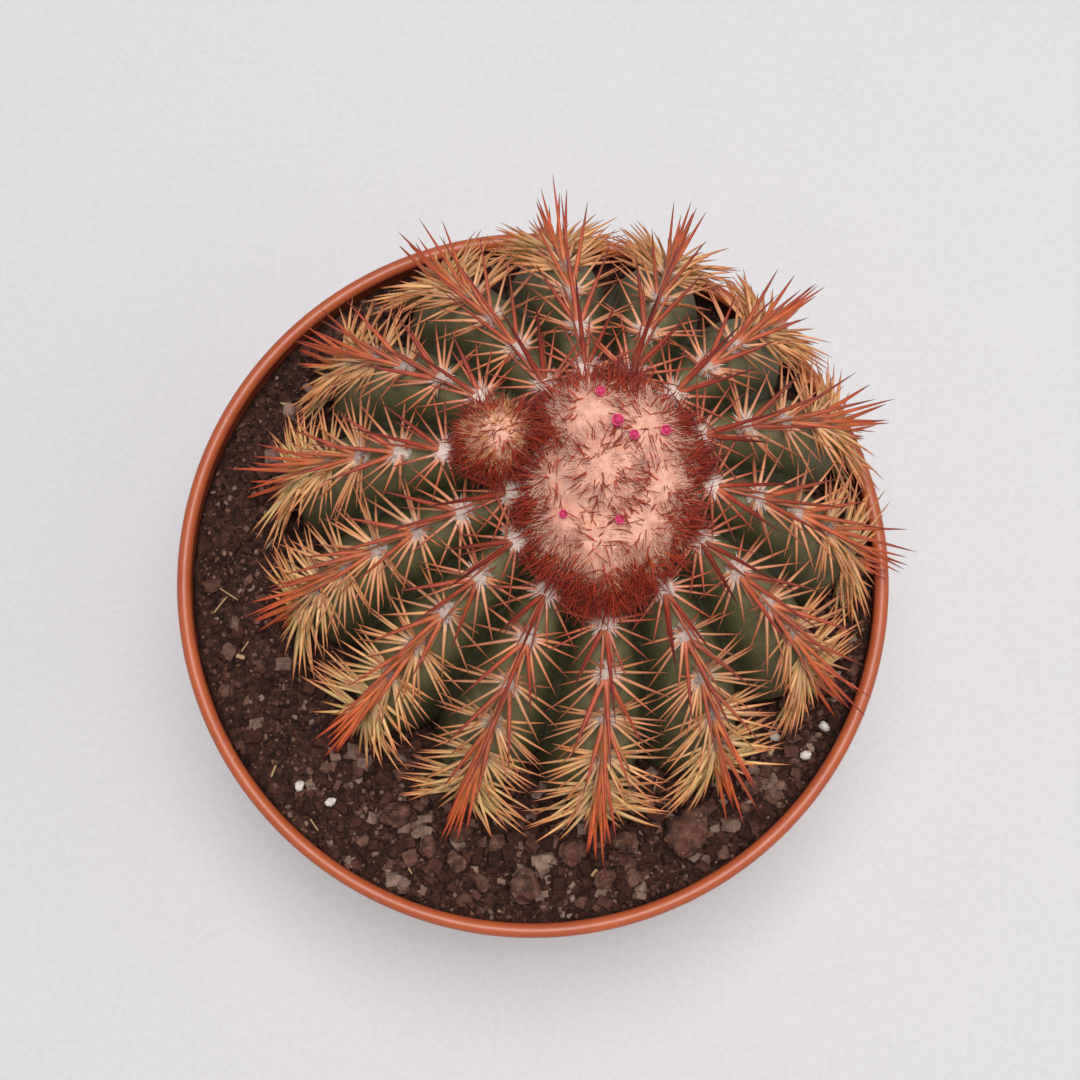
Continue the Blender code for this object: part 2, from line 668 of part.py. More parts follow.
def main():
    for old in list(bpy.data.objects):
        bpy.data.objects.remove(old, do_unlink=True)
    root = bpy.data.objects.new("potted_cactus", None)
    bpy.context.scene.collection.objects.link(root)
    looks = {
        "pot": material("pot_plastic", (0.46, 0.14, 0.065), 0.42),
        "soil": material("potting_soil", (0.045, 0.026, 0.018), 0.95),
        "stem": material("stem_skin", (0.10, 0.13, 0.065), 0.62),
        "wool": material("crown_wool", (0.75, 0.48, 0.36), 0.95),
        "side_wool": material("side_crown_wool", (0.62, 0.28, 0.16), 0.95),
        "petal": material("petal", (0.62, 0.02, 0.12), 0.50),
        "spine": material("spine", (0.55, 0.20, 0.08), 0.55),
        "lava_stone": material("lava_stone", (0.075, 0.042, 0.030), 0.92),
        "perlite": material("perlite", (0.74, 0.71, 0.66), 0.90),
    }
    build_pot(looks["pot"], root)
    build_soil(looks["soil"], root)
    build_stem(looks["stem"], root)
    build_dome("cephalium", crown_centre(), crown_reach, CROWN_HEIGHT, CROWN_LOBE, 32, looks["wool"], root)
    build_dome("cephalium_side_head", side_head_centre(), side_head_reach, SIDE_HEAD_HEIGHT, 0.0, 16,
               looks["side_wool"], root)
    for index, (across, along, size) in enumerate(FLOWERS, 1):
        build_flower(index, across, along, size, looks["petal"], root)
    for index in range(1, RIB_COUNT + 1):
        build_spine_row(index, looks["spine"], root)
    build_lumps(looks, root)
    stand_on_middle(root)


main()
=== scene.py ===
"""Looks of a round ribbed cactus with a woolly crown in a round plastic pot.

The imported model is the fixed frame: the pot's axis, its rim and every flower and stone are read
from it. The ribbed skin is one surface, StemShape, from which the soil, the spines, the wool and
the flowers take their places. Sizes are in metres, with +Z up.
"""

from __future__ import annotations

import logging
import math
import random
import sys
from collections.abc import Callable
from dataclasses import dataclass, field
from enum import Enum

import bpy
import numpy as np
from mathutils import Matrix, Vector, noise


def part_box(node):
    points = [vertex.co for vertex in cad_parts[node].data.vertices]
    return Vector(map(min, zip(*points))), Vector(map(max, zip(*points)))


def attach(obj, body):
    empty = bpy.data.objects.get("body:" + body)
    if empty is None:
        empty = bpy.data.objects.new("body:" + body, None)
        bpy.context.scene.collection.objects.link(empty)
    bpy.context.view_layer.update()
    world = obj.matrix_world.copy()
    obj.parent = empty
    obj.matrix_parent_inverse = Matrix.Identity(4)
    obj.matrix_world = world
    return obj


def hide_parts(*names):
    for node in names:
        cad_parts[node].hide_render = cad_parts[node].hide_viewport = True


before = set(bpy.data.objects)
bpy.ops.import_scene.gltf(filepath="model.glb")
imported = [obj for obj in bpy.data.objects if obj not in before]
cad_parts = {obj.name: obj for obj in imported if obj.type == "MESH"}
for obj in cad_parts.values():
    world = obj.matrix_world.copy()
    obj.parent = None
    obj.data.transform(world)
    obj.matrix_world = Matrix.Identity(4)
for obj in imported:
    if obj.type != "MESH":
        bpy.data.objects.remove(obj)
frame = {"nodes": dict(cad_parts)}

LOG = logging.getLogger("potted_cactus")
TURN = 2 * math.pi
BODY = "root"
UP = np.array((0.0, 0.0, 1.0))
Values = np.ndarray | float
Looks = dict[str, bpy.types.Material]
Socket = bpy.types.NodeSocket


# --- Small helpers --------------------------------------------------------------------------
def linear(hex_colour: str) -> tuple[float, float, float, float]:
    """Turns an sRGB hex colour into linear RGBA.

    Args:
        hex_colour: six hex digits after a hash.

    Returns:
        The colour in linear light, with alpha 1.
    """
    shares = [int(hex_colour[i : i + 2], 16) / 255 for i in (1, 3, 5)]
    red, green, blue = (c / 12.92 if c <= 0.04045 else ((c + 0.055) / 1.055) ** 2.4 for c in shares)
    return red, green, blue, 1.0


def smooth_step(low: float, high: float, value: Values) -> Values:
    """Eases from 0 at low to 1 at high.

    Args:
        low: where the step starts.
        high: where it ends.
        value: what is tested.

    Returns:
        The eased share.
    """
    share = np.clip((value - low) / (high - low), 0.0, 1.0)
    return share * share * (3 - 2 * share)


def unit(vector: np.ndarray) -> np.ndarray:
    """Returns the vector at length one."""
    return vector / max(1e-9, float(np.linalg.norm(vector)))


def rumple(point: np.ndarray | Vector | tuple[float, ...], scale: float, turn: float = 0.0) -> float:
    """Smooth noise at a point.

    Args:
        point: where it is read, in metres.
        scale: bumps for each metre.
        turn: moves the pattern.

    Returns:
        A value from about -1 to 1.
    """
    return noise.noise(Vector((point[0] * scale, point[1] * scale, point[2] * scale + turn)))


def wobble(draw: random.Random, spread: float, rise: float = 0.0) -> np.ndarray:
    """A drawn sideways step.

    Args:
        draw: the source of chance.
        spread: how wide it goes across and along.
        rise: its fixed height.

    Returns:
        The step.
    """
    return np.array((draw.gauss(0, spread), draw.gauss(0, spread), rise))


def quarter_turn(flat: np.ndarray) -> np.ndarray:
    """The flat direction a quarter turn on."""
    return np.array((-flat[1], flat[0], 0.0))


def deselect() -> None:
    """Leaves nothing selected, so that the next operator acts on its own piece only."""
    if bpy.context.object and bpy.context.object.mode != "OBJECT":
        bpy.ops.object.mode_set(mode="OBJECT")
    bpy.ops.object.select_all(action="DESELECT")


def pick(piece: bpy.types.Object) -> None:
    """Makes one piece the selected and active one.

    Args:
        piece: the mesh object.
    """
    deselect()
    bpy.context.view_layer.objects.active = piece
    piece.select_set(True)


def edit_all() -> None:
    """Opens the active piece for editing with all of it selected."""
    bpy.ops.object.mode_set(mode="EDIT")
    bpy.ops.mesh.select_all(action="SELECT")


@dataclass(frozen=True)
class Template:
    """A small shape that is modelled once and copied many times."""

    points: np.ndarray
    faces: np.ndarray


def take_template() -> Template:
    """Reads the active object as triangles and removes it.

    Returns:
        Its points and triangles.
    """
    bpy.ops.object.mode_set(mode="OBJECT")
    piece = bpy.context.object
    piece.data.calc_loop_triangles()
    points = np.empty(len(piece.data.vertices) * 3)
    piece.data.vertices.foreach_get("co", points)
    faces = np.empty(len(piece.data.loop_triangles) * 3, np.int32)
    piece.data.loop_triangles.foreach_get("vertices", faces)
    bpy.data.objects.remove(piece, do_unlink=True)
    return Template(points.reshape(-1, 3), faces.reshape(-1, 3))


def drawn_out(sides: int, steps: tuple[tuple[float, float], ...]) -> Template:
    """A closed shaft along Z, extruded ring by ring from a filled circle of radius one.

    Args:
        sides: corners of the circle.
        steps: height and width of each further ring.

    Returns:
        The shaft, from height 0 to the last step's height.
    """
    deselect()
    bpy.ops.mesh.primitive_circle_add(vertices=sides, radius=1.0, fill_type="NGON", location=(0, 0, 0))
    edit_all()
    level, width = 0.0, 1.0
    for height, wide in steps:
        bpy.ops.mesh.extrude_region_move(TRANSFORM_OT_translate={"value": (0, 0, height - level)})
        bpy.ops.transform.resize(value=(wide / width, wide / width, 1.0))
        level, width = height, wide
    bpy.ops.mesh.select_all(action="SELECT")
    bpy.ops.mesh.normals_make_consistent(inside=False)
    return take_template()


def crumb_template(detail: int, rough: float, seed: int) -> Template:
    """A broken, angular lump of radius one.

    Args:
        detail: subdivisions of the starting ball.
        rough: how far its corners are pushed about.
        seed: choice of the pushes.

    Returns:
        The lump.
    """
    deselect()
    bpy.ops.mesh.primitive_ico_sphere_add(subdivisions=detail, radius=1.0, location=(0, 0, 0))
    edit_all()
    bpy.ops.transform.vertex_random(offset=rough, uniform=0.0, normal=0.0, seed=seed)
    return take_template()


def chunk_template(rough: float, seed: int) -> Template:
    """A blocky broken chunk about two across, with worn edges.

    Args:
        rough: how far a cube's corners are pushed about.
        seed: choice of the pushes.

    Returns:
        The chunk.
    """
    deselect()
    bpy.ops.mesh.primitive_cube_add(size=1.5, location=(0, 0, 0))
    edit_all()
    bpy.ops.mesh.subdivide(number_cuts=1)
    bpy.ops.transform.vertex_random(offset=rough, uniform=0.0, normal=0.0, seed=seed)
    bpy.ops.mesh.bevel(offset=0.10, segments=1, affect="EDGES")
    return take_template()


class Gathered:
    """Gathers many closed copies, with values on their points, into one mesh."""

    def __init__(self, *names: str) -> None:
        """Starts empty.

        Args:
            names: the point values that every copy gives.
        """
        self.points: list[np.ndarray] = []
        self.faces: list[np.ndarray] = []
        self.slots: list[np.ndarray] = []
        self.values: dict[str, list[np.ndarray]] = {name: [] for name in names}
        self.count = 0

    def add(self, points: np.ndarray, faces: np.ndarray, slot: int = 0, **values: Values) -> None:
        """Adds one closed shape.

        Args:
            points: its points, in metres.
            faces: its triangles.
            slot: which of the piece's finishes it has.
            values: one number, or one for each point, under each name.
        """
        self.points.append(points)
        self.faces.append(faces + self.count)
        self.slots.append(np.full(len(faces), slot, np.int32))
        for name, kept in self.values.items():
            kept.append(np.broadcast_to(np.asarray(values[name], float), (len(points),)))
        self.count += len(points)

    def add_bent(
        self,
        shape: Template,
        root: np.ndarray,
        way: np.ndarray,
        bend: np.ndarray,
        length: float,
        thick: float,
        slot: int = 0,
        **values: float,
    ) -> None:
        """Adds a shaft that leaves root along way and curves towards bend.

        Args:
            shape: a shaft along Z of length one.
            root: where it starts.
            way: its direction there.
            bend: how far its tip leaves the straight, in lengths.
            length: its length.
            thick: its diameter at the root.
            slot: which of the piece's finishes it has.
            values: numbers for the point values other than along.
        """
        way = unit(way)
        side = unit(np.cross(way, (0.31, 0.17, 0.93)))
        other = np.cross(way, side)
        along = shape.points[:, 2]
        middle = root + np.outer(along * length, way) + np.outer(along**2 * length, bend)
        spread = np.outer(shape.points[:, 0], side) + np.outer(shape.points[:, 1], other)
        self.add(middle + spread * thick / 2, shape.faces, slot, along=along, **values)

    def build(self, name: str, finishes: list[bpy.types.Material], smooth: bool = True) -> bpy.types.Object:
        """Makes the object.

        Args:
            name: its name.
            finishes: its materials, in the order of the slots.
            smooth: whether its faces are shaded smooth.

        Returns:
            The object, at the origin, with its place in its mesh.
        """
        points, faces = np.concatenate(self.points), np.concatenate(self.faces)
        mesh = bpy.data.meshes.new(name)
        mesh.vertices.add(len(points))
        mesh.vertices.foreach_set("co", points.astype(np.float32).ravel())
        mesh.loops.add(faces.size)
        mesh.loops.foreach_set("vertex_index", faces.astype(np.int32).ravel())
        mesh.polygons.add(len(faces))
        mesh.polygons.foreach_set("loop_start", np.arange(0, faces.size, 3, dtype=np.int32))
        mesh.update(calc_edges=True)
        mesh.polygons.foreach_set("material_index", np.concatenate(self.slots))
        mesh.polygons.foreach_set("use_smooth", np.full(len(faces), smooth))
        for label, kept in self.values.items():
            held = mesh.attributes.new(label, "FLOAT", "POINT")
            held.data.foreach_set("value", np.concatenate(kept).astype(np.float32))
        for finish in finishes:
            mesh.materials.append(finish)
        made = bpy.data.objects.new(name, mesh)
        bpy.context.scene.collection.objects.link(made)
        face_outwards(made)
        return made


def face_outwards(piece: bpy.types.Object) -> None:
    """Turns every face of a closed piece outwards.

    Args:
        piece: the mesh object.
    """
    pick(piece)
    edit_all()
    bpy.ops.mesh.normals_make_consistent(inside=False)
    deselect()


def skin_faces(rows: int, columns: int) -> np.ndarray:
    """Triangles of a closed skin of rings, with a fan over its first and its last ring.

    Args:
        rows: number of rings.
        columns: points in each ring.

    Returns:
        Triangles, for the rings' points followed by the first and the last middle point.
    """
    ring, spot = np.meshgrid(np.arange(rows - 1), np.arange(columns), indexing="ij")
    here, after = ring * columns + spot, ring * columns + (spot + 1) % columns
    walls = [
        np.stack([here, after, after + columns], -1),
        np.stack([here, after + columns, here + columns], -1),
    ]
    turn = np.arange(columns)
    onward = (turn + 1) % columns
    first = np.stack([onward, turn, np.full(columns, rows * columns)], -1)
    end = (rows - 1) * columns
    last = np.stack([end + turn, end + onward, np.full(columns, rows * columns + 1)], -1)
    return np.concatenate([part.reshape(-1, 3) for part in (*walls, first, last)])


def with_middles(rings: np.ndarray) -> np.ndarray:
    """Adds the middle points that skin_faces closes to.

    Args:
        rings: points as rows, columns and axes.

    Returns:
        All points in one list.
    """
    return np.concatenate([rings.reshape(-1, 3), rings[0].mean(0)[None], rings[-1].mean(0)[None]])


def hand_over(piece: bpy.types.Object, slot: str, *nodes: str) -> None:
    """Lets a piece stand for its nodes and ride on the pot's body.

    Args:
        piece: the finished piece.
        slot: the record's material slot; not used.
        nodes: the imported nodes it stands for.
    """
    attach(piece, BODY)
    if nodes:
        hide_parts(*nodes)
    LOG.info("%s: %d faces", piece.name, len(piece.data.polygons))


# --- Finishes -------------------------------------------------------------------------------
def node(
    tree: bpy.types.NodeTree,
    kind: str,
    sockets: dict[str, object] | None = None,
    stops: tuple[tuple[float, str], ...] = (),
    **settings: object,
) -> bpy.types.Node:
    """Adds a node with its settings, values and links.

    Args:
        tree: the material's tree.
        kind: the node's type.
        sockets: for each input, an output to link or a value to set.
        stops: places and colours of a colour ramp.
        settings: the node's own settings.

    Returns:
        The node.
    """
    made = tree.nodes.new(kind)
    for name, value in settings.items():
        setattr(made, name, value)
    for name, value in (sockets or {}).items():
        if isinstance(value, Socket):
            tree.links.new(value, made.inputs[name])
        else:
            made.inputs[name].default_value = value
    for index, (place, colour) in enumerate(stops):
        stop = made.color_ramp.elements[index] if index < 2 else made.color_ramp.elements.new(place)
        stop.position = place
        stop.color = linear(colour)
    return made


class Touch(Enum):
    """How a surface feels, as its roughness, its sheen and its specular level."""

    SATIN = (0.40, 0.0, 0.5)
    WAXY = (0.55, 0.0, 0.30)
    HORN = (0.48, 0.0, 0.35)
    FELT = (0.95, 0.12, 0.2)
    PETAL = (0.55, 0.1, 0.3)
    EARTH = (0.92, 0.0, 0.20)
    STONE = (0.85, 0.0, 0.35)


@dataclass(frozen=True)
class Finish:
    """A material: colours that follow a value or a noise, mottled, with a fine relief.

    Attributes:
        name: the real material and how its surface was made.
        touch: how it feels.
        ramp: colours along the leading value.
        leads: the point value that leads through the ramp; empty for noise.
        lead_size: size of that noise's patches.
        old_ramp: colours that take over where age_by is high.
        age_by: the point value that mixes in the old ramp.
        tone_by: the point value that makes copies lighter or darker.
        tone: darkest and lightest that tone_by makes.
        mottle: colour of the patches laid over it, their size and their strength.
        fleck: colour, size and share of small flecks.
        relief: size and depth of the fine relief.
        swell: size and depth of the broad relief.
    """

    name: str
    touch: Touch
    ramp: tuple[tuple[float, str], ...]
    leads: str = ""
    lead_size: float = 0.002
    old_ramp: tuple[tuple[float, str], ...] = ()
    age_by: str = ""
    tone_by: str = ""
    tone: tuple[float, float] = (0.8, 1.2)
    mottle: tuple[str, float, float] = ("#000000", 0.004, 0.0)
    fleck: tuple[str, float, float] = ("#ffffff", 0.0006, 0.0)
    relief: tuple[float, float] = (0.0004, 0.0001)
    swell: tuple[float, float] = (0.003, 0.0)

    def make(self) -> bpy.types.Material:
        """Builds the material.

        Returns:
            The node material.
        """
        made = bpy.data.materials.new(self.name)
        made.use_nodes = True
        tree = made.node_tree
        shader = tree.nodes["Principled BSDF"]
        rough, sheen, shine = self.touch.value
        shader.inputs["Sheen Weight"].default_value = sheen
        shader.inputs["Sheen Roughness"].default_value = 0.6
        shader.inputs["Specular IOR Level"].default_value = shine
        place = node(tree, "ShaderNodeTexCoord").outputs["Object"]

        def grain(size: float, detail: float = 4.0) -> Socket:
            """Noise with features of the given size."""
            made = node(tree, "ShaderNodeTexNoise", {"Vector": place, "Scale": 0.6 / size, "Detail": detail})
            return made.outputs["Fac"]

        def value(name: str) -> Socket:
            """The point value of that name."""
            return node(tree, "ShaderNodeAttribute", attribute_name=name).outputs["Fac"]

        def remap(source: Socket, low: float, high: float, start: float = 0.0, end: float = 1.0) -> Socket:
            """Maps start to end onto low to high."""
            limits = {"Value": source, "From Min": start, "From Max": end, "To Min": low, "To Max": high}
            return node(tree, "ShaderNodeMapRange", limits).outputs["Result"]

        def ramped(source: Socket, stops: tuple[tuple[float, str], ...]) -> Socket:
            """The ramp's colour at a value."""
            return node(tree, "ShaderNodeValToRGB", {"Fac": source}, stops).outputs["Color"]

        def lay(amount: Socket, under: Socket, over: object) -> Socket:
            """One colour laid over another."""
            mixed = {"Fac": amount, "Color1": under, "Color2": over}
            return node(tree, "ShaderNodeMixRGB", mixed).outputs["Color"]

        lead = value(self.leads) if self.leads else grain(self.lead_size)
        colour = ramped(lead, self.ramp)
        if self.old_ramp:
            colour = lay(value(self.age_by), colour, ramped(lead, self.old_ramp))
        if self.mottle[2]:
            patch, size, strength = self.mottle
            colour = lay(remap(grain(size), 0.0, strength, 0.38, 0.68), colour, linear(patch))
        if self.fleck[2]:
            spot, size, share = self.fleck
            edge = 0.72 - 0.25 * share
            colour = lay(remap(grain(size, 2.0), 0.0, 0.75, edge, edge + 0.06), colour, linear(spot))
        if self.tone_by:
            light = remap(value(self.tone_by), *self.tone)
            colour = node(tree, "ShaderNodeHueSaturation", {"Color": colour, "Value": light}).outputs["Color"]
        tree.links.new(colour, shader.inputs["Base Color"])
        worn = remap(grain(self.relief[0] * 3), rough - 0.07, min(1.0, rough + 0.09))
        tree.links.new(worn, shader.inputs["Roughness"])
        bumps = {"Height": grain(self.relief[0], 5.0), "Distance": self.relief[1], "Strength": 0.8}
        normal = node(tree, "ShaderNodeBump", bumps).outputs["Normal"]
        if self.swell[1]:
            bumps = {"Height": grain(self.swell[0], 3.0), "Distance": self.swell[1], "Normal": normal}
            normal = node(tree, "ShaderNodeBump", bumps).outputs["Normal"]
        tree.links.new(normal, shader.inputs["Normal"])
        return made


# Injection-moulded polypropylene: an even satin brown-red with a faint orange-peel skin.
POT_PLASTIC = Finish(
    "moulded_terracotta_polypropylene",
    Touch.SATIN,
    ((0.25, "#ad5431"), (0.75, "#bc5e38")),
    lead_size=0.012,
    mottle=("#94452c", 0.005, 0.25),
    fleck=("#c98d74", 0.0005, 0.10),
    relief=(0.0005, 0.00002),
    swell=(0.006, 0.00012),
)
# Peat and lava crumb: dark brown, painted nearly black-brown as the shade that falls between the grains lying
# on it.
PEAT = Finish(
    "sifted_peat_crumb",
    Touch.EARTH,
    ((0.30, "#1f120e"), (0.55, "#3d251d"), (0.75, "#5a3a2e")),
    lead_size=0.0012,
    fleck=("#7a5646", 0.0005, 0.25),
    relief=(0.0006, 0.0005),
    swell=(0.0025, 0.0008),
)
# Loose grains: each has its own brown, from black-brown through red-brown to grey-brown.
CRUMB = Finish(
    "broken_pumice_and_bark_crumb",
    Touch.EARTH,
    ((0.0, "#2a1813"), (0.35, "#513027"), (0.62, "#664338"), (0.86, "#7d5b4d"), (1.0, "#95796a")),
    leads="tint",
    mottle=("#1c100d", 0.0012, 0.45),
    fleck=("#a08676", 0.0003, 0.12),
    relief=(0.0004, 0.00028),
)
# Waxy plant skin: olive on the rib edges, darkening to almost black in the furrows as painted shade, with
# corky scars.
SKIN = Finish(
    "waxy_cactus_skin",
    Touch.WAXY,
    ((0.0, "#88805c"), (0.25, "#736e49"), (0.55, "#525030"), (1.0, "#211f13")),
    leads="furrow",
    mottle=("#454628", 0.0030, 0.55),
    fleck=("#9c9a78", 0.0003, 0.20),
    relief=(0.0005, 0.00012),
    swell=(0.0028, 0.00035),
)
# Horny outer spines: pale at the root and red-brown at the tip when young, straw when old.
RADIAL_HORN = Finish(
    "outer_spine_horn",
    Touch.HORN,
    ((0.0, "#e6b89c"), (0.30, "#d07e5c"), (0.65, "#a8452c"), (1.0, "#561c10")),
    leads="along",
    old_ramp=((0.0, "#f7dda4"), (0.5, "#eec586"), (0.80, "#e0935a"), (1.0, "#9c5136")),
    age_by="age",
    tone_by="tone",
    tone=(0.72, 1.18),
    mottle=("#a8683f", 0.0012, 0.22),
    relief=(0.0003, 0.00006),
)
# Middle spines: stouter and darker, maroon beside the crown and orange further down.
CENTRAL_HORN = Finish(
    "middle_spine_horn",
    Touch.HORN,
    ((0.0, "#c97f5e"), (0.25, "#a5412b"), (0.65, "#78261a"), (1.0, "#34100c")),
    leads="along",
    old_ramp=((0.0, "#ec9f68"), (0.4, "#ea7a46"), (0.8, "#d85c34"), (1.0, "#7c3222")),
    age_by="age",
    tone_by="tone",
    tone=(0.75, 1.2),
    mottle=("#4a1c14", 0.0014, 0.30),
    relief=(0.0003, 0.00006),
)
# Short wool in the spine cushions: pinkish white when young, brown-grey when weathered.
CUSHION_WOOL = Finish(
    "spine_cushion_wool",
    Touch.FELT,
    ((0.0, "#d8b9a8"), (0.5, "#ecd8cc"), (1.0, "#f5e8df")),
    leads="along",
    old_ramp=((0.0, "#6c5345"), (1.0, "#a48a78")),
    age_by="age",
    tone_by="tone",
    tone=(0.8, 1.1),
    relief=(0.0002, 0.0001),
)
# Felted crown wool: cream-pink on the lobes, darkening to deep rust in the grooves between them and at the
# foot, which is painted shade.
CROWN_FELT = Finish(
    "felted_crown_wool",
    Touch.FELT,
    ((0.0, "#e6b49a"), (0.40, "#d6957b"), (0.75, "#b25c42"), (1.0, "#7a2c1d")),
    leads="groove",
    mottle=("#c57a60", 0.0020, 0.55),
    fleck=("#f6d6c3", 0.0004, 0.25),
    relief=(0.00035, 0.0003),
    swell=(0.0018, 0.0005),
)
# Single wool fibres that stand up from the felt.
WOOL_FIBRE = Finish(
    "crown_wool_fibre",
    Touch.FELT,
    ((0.0, "#bd7860"), (0.6, "#e2ad94"), (1.0, "#f6d3bf")),
    leads="along",
    old_ramp=((0.0, "#a4532f"), (1.0, "#eeb07a")),
    age_by="age",
    tone_by="tone",
    relief=(0.0002, 0.00005),
)
# Stiff crown bristles: rust at the root and dark wine red at the tip.
BRISTLE_HORN = Finish(
    "crown_bristle_horn",
    Touch.HORN,
    ((0.0, "#d27c52"), (0.25, "#bb4c2c"), (0.65, "#9c351f"), (1.0, "#601b0f")),
    leads="along",
    tone_by="tone",
    tone=(0.65, 1.35),
    mottle=("#4c150e", 0.0009, 0.25),
    relief=(0.0002, 0.00003),
)
# Thin flower petals: deep magenta at the throat, brighter at the tips.
PETAL_SKIN = Finish(
    "magenta_flower_petal",
    Touch.PETAL,
    ((0.0, "#9c1549"), (0.4, "#d62068"), (1.0, "#f0508c")),
    leads="along",
    tone_by="tone",
    mottle=("#a01248", 0.0008, 0.3),
    relief=(0.0002, 0.00005),
)
# Porous lava: dark brown with rust-red and grey pores.
LAVA = Finish(
    "porous_lava_stone",
    Touch.STONE,
    ((0.30, "#2c1b16"), (0.52, "#55372b"), (0.72, "#7c5c4c")),
    lead_size=0.0016,
    mottle=("#6b3a2a", 0.0024, 0.40),
    fleck=("#a58f7e", 0.0003, 0.20),
    relief=(0.0005, 0.0004),
    swell=(0.0016, 0.0005),
)
# Blown perlite: chalk white with grey-brown dust in its pores.
PERLITE = Finish(
    "blown_perlite",
    Touch.STONE,
    ((0.30, "#b9ada2"), (0.6, "#e4ddd4")),
    lead_size=0.0008,
    mottle=("#8f7d70", 0.0012, 0.35),
    relief=(0.0003, 0.0003),
)
# Chopped straw and seed husks: dry and pale yellow-brown.
STRAW = Finish(
    "dry_straw",
    Touch.EARTH,
    ((0.30, "#a07f57"), (0.7, "#cdb083")),
    lead_size=0.001,
    mottle=("#7b5a3c", 0.001, 0.4),
    relief=(0.0002, 0.0001),
)
# Painted studio table: matt, pale and nearly even.
TABLE = Finish(
    "matt_painted_table",
    Touch.EARTH,
    ((0.35, "#d8d8d9"), (0.65, "#dddddf")),
    lead_size=0.0012,
    mottle=("#dedddf", 0.020, 0.30),
    relief=(0.0009, 0.00010),
)


# --- Shape of the plant ---------------------------------------------------------------------
@dataclass(frozen=True)
class StemShape:
    """The ribbed skin: a flattened ball on a buried cone, leaning slightly.

    Attributes:
        foot: the stem's centre at soil level.
        soil_level: the height of the soil.
        radius: of the widest level, over the ribs.
        shoulder: height of the ball above its widest level.
        waist_lift: height of the widest level above the soil.
        root_depth: how far the root crown goes below the soil.
        root_radius: radius of its end.
        lean: sideways shift for each metre up.
        ribs: how many there are.
        first_rib: bearing of the first one's edge.
        root_arc: where the skin ends underground.
        furrow_depth: depth of a furrow at the widest level.
        furrow_shape: above 1, how sharp the rib edges are.
    """

    foot: tuple[float, float]
    soil_level: float
    radius: float = 0.0690
    shoulder: float = 0.0570
    waist_lift: float = 0.0100
    root_depth: float = 0.0420
    root_radius: float = 0.0120
    lean: tuple[float, float] = (0.10, 0.08)
    ribs: int = 14
    first_rib: float = math.radians(69)
    root_arc: float = math.radians(174)
    furrow_depth: float = 0.0115
    furrow_shape: float = 2.1

    def furrow(self, bearing: Values) -> np.ndarray:
        """How far into a furrow a bearing lies.

        Args:
            bearing: direction round the stem.

        Returns:
            0 on a rib's edge and 1 at the bottom of a furrow.
        """
        pitch = TURN / self.ribs
        across = np.abs(((np.asarray(bearing) - self.first_rib) / pitch + 0.5) % 1.0 - 0.5) * 2
        return across**self.furrow_shape

    def point(self, bearing: Values, arc: Values, out: Values = 0.0) -> np.ndarray:
        """Points of the skin.

        Args:
            bearing: direction round the stem.
            arc: 0 at the tip, a quarter turn at the widest level, a half at the root.
            out: how far the skin is moved outwards.

        Returns:
            The points, with the axes last.
        """
        bearing, arc, out = np.broadcast_arrays(*(np.asarray(v, float) for v in (bearing, arc, out)))
        waist = self.soil_level + self.waist_lift
        upper, low = arc <= math.pi / 2, arc - math.pi / 2
        radius = np.where(
            upper,
            self.radius * np.sin(arc),
            self.root_radius + (self.radius - self.root_radius) * np.cos(low),
        )
        height = np.where(
            upper,
            waist + self.shoulder * np.cos(arc),
            waist - (self.waist_lift + self.root_depth) * np.sin(low),
        )
        facing = np.where(upper, self.shoulder * np.sin(arc), 1.0)
        rising = np.where(upper, self.radius * np.cos(arc), 0.0)
        length = np.hypot(facing, rising)
        deep = smooth_step(0.05, 0.60, radius / self.radius)
        deep = deep * (1 - smooth_step(math.radians(100), math.radians(165), arc))
        inwards = self.furrow_depth * self.furrow(bearing) * deep - out
        reach = radius - inwards * facing / length
        climb = height - self.soil_level
        return np.stack(
            [
                self.foot[0] + self.lean[0] * climb + reach * np.cos(bearing),
                self.foot[1] + self.lean[1] * climb + reach * np.sin(bearing),
                height - inwards * rising / length,
            ],
            -1,
        )

    def seat(self, x: float, y: float) -> float:
        """Height of the hull over the ribs.

        Args:
            x: place across.
            y: place along.

        Returns:
            The height, found in a few rounds because the stem leans.
        """
        height = self.soil_level + self.waist_lift + self.shoulder
        for _ in range(8):
            climb = height - self.soil_level
            across = x - self.foot[0] - self.lean[0] * climb
            along = y - self.foot[1] - self.lean[1] * climb
            away = math.hypot(across, along)
            share = min(0.98, away / self.radius)
            height = self.soil_level + self.waist_lift + self.shoulder * math.sqrt(1 - share * share)
        return height

    def soil_arc(self) -> float:
        """The arc at which the skin meets the soil."""
        return math.pi / 2 + math.asin(self.waist_lift / (self.waist_lift + self.root_depth))

    def directions(self, bearing: float, arc: float) -> tuple[np.ndarray, ...]:
        """A place on a rib's edge.

        Args:
            bearing: the rib's bearing.
            arc: how far down the rib.

        Returns:
            The point and the directions outwards, down the rib and round the stem.
        """
        point = self.point(bearing, arc)
        down = unit(self.point(bearing, arc + 0.002) - self.point(bearing, arc - 0.002))
        around = np.array((-math.sin(bearing), math.cos(bearing), 0.0))
        outward = unit(np.cross(around, down))
        centre = np.array((*self.foot, self.soil_level))
        return point, outward if np.dot(outward, point - centre) > 0 else -outward, down, around


@dataclass(frozen=True)
class Lobe:
    """One cushion of the crown's wool: its place from the crown's centre, radius, rise and age."""

    x: float
    y: float
    radius: float
    rise: float
    age: float = 0.0


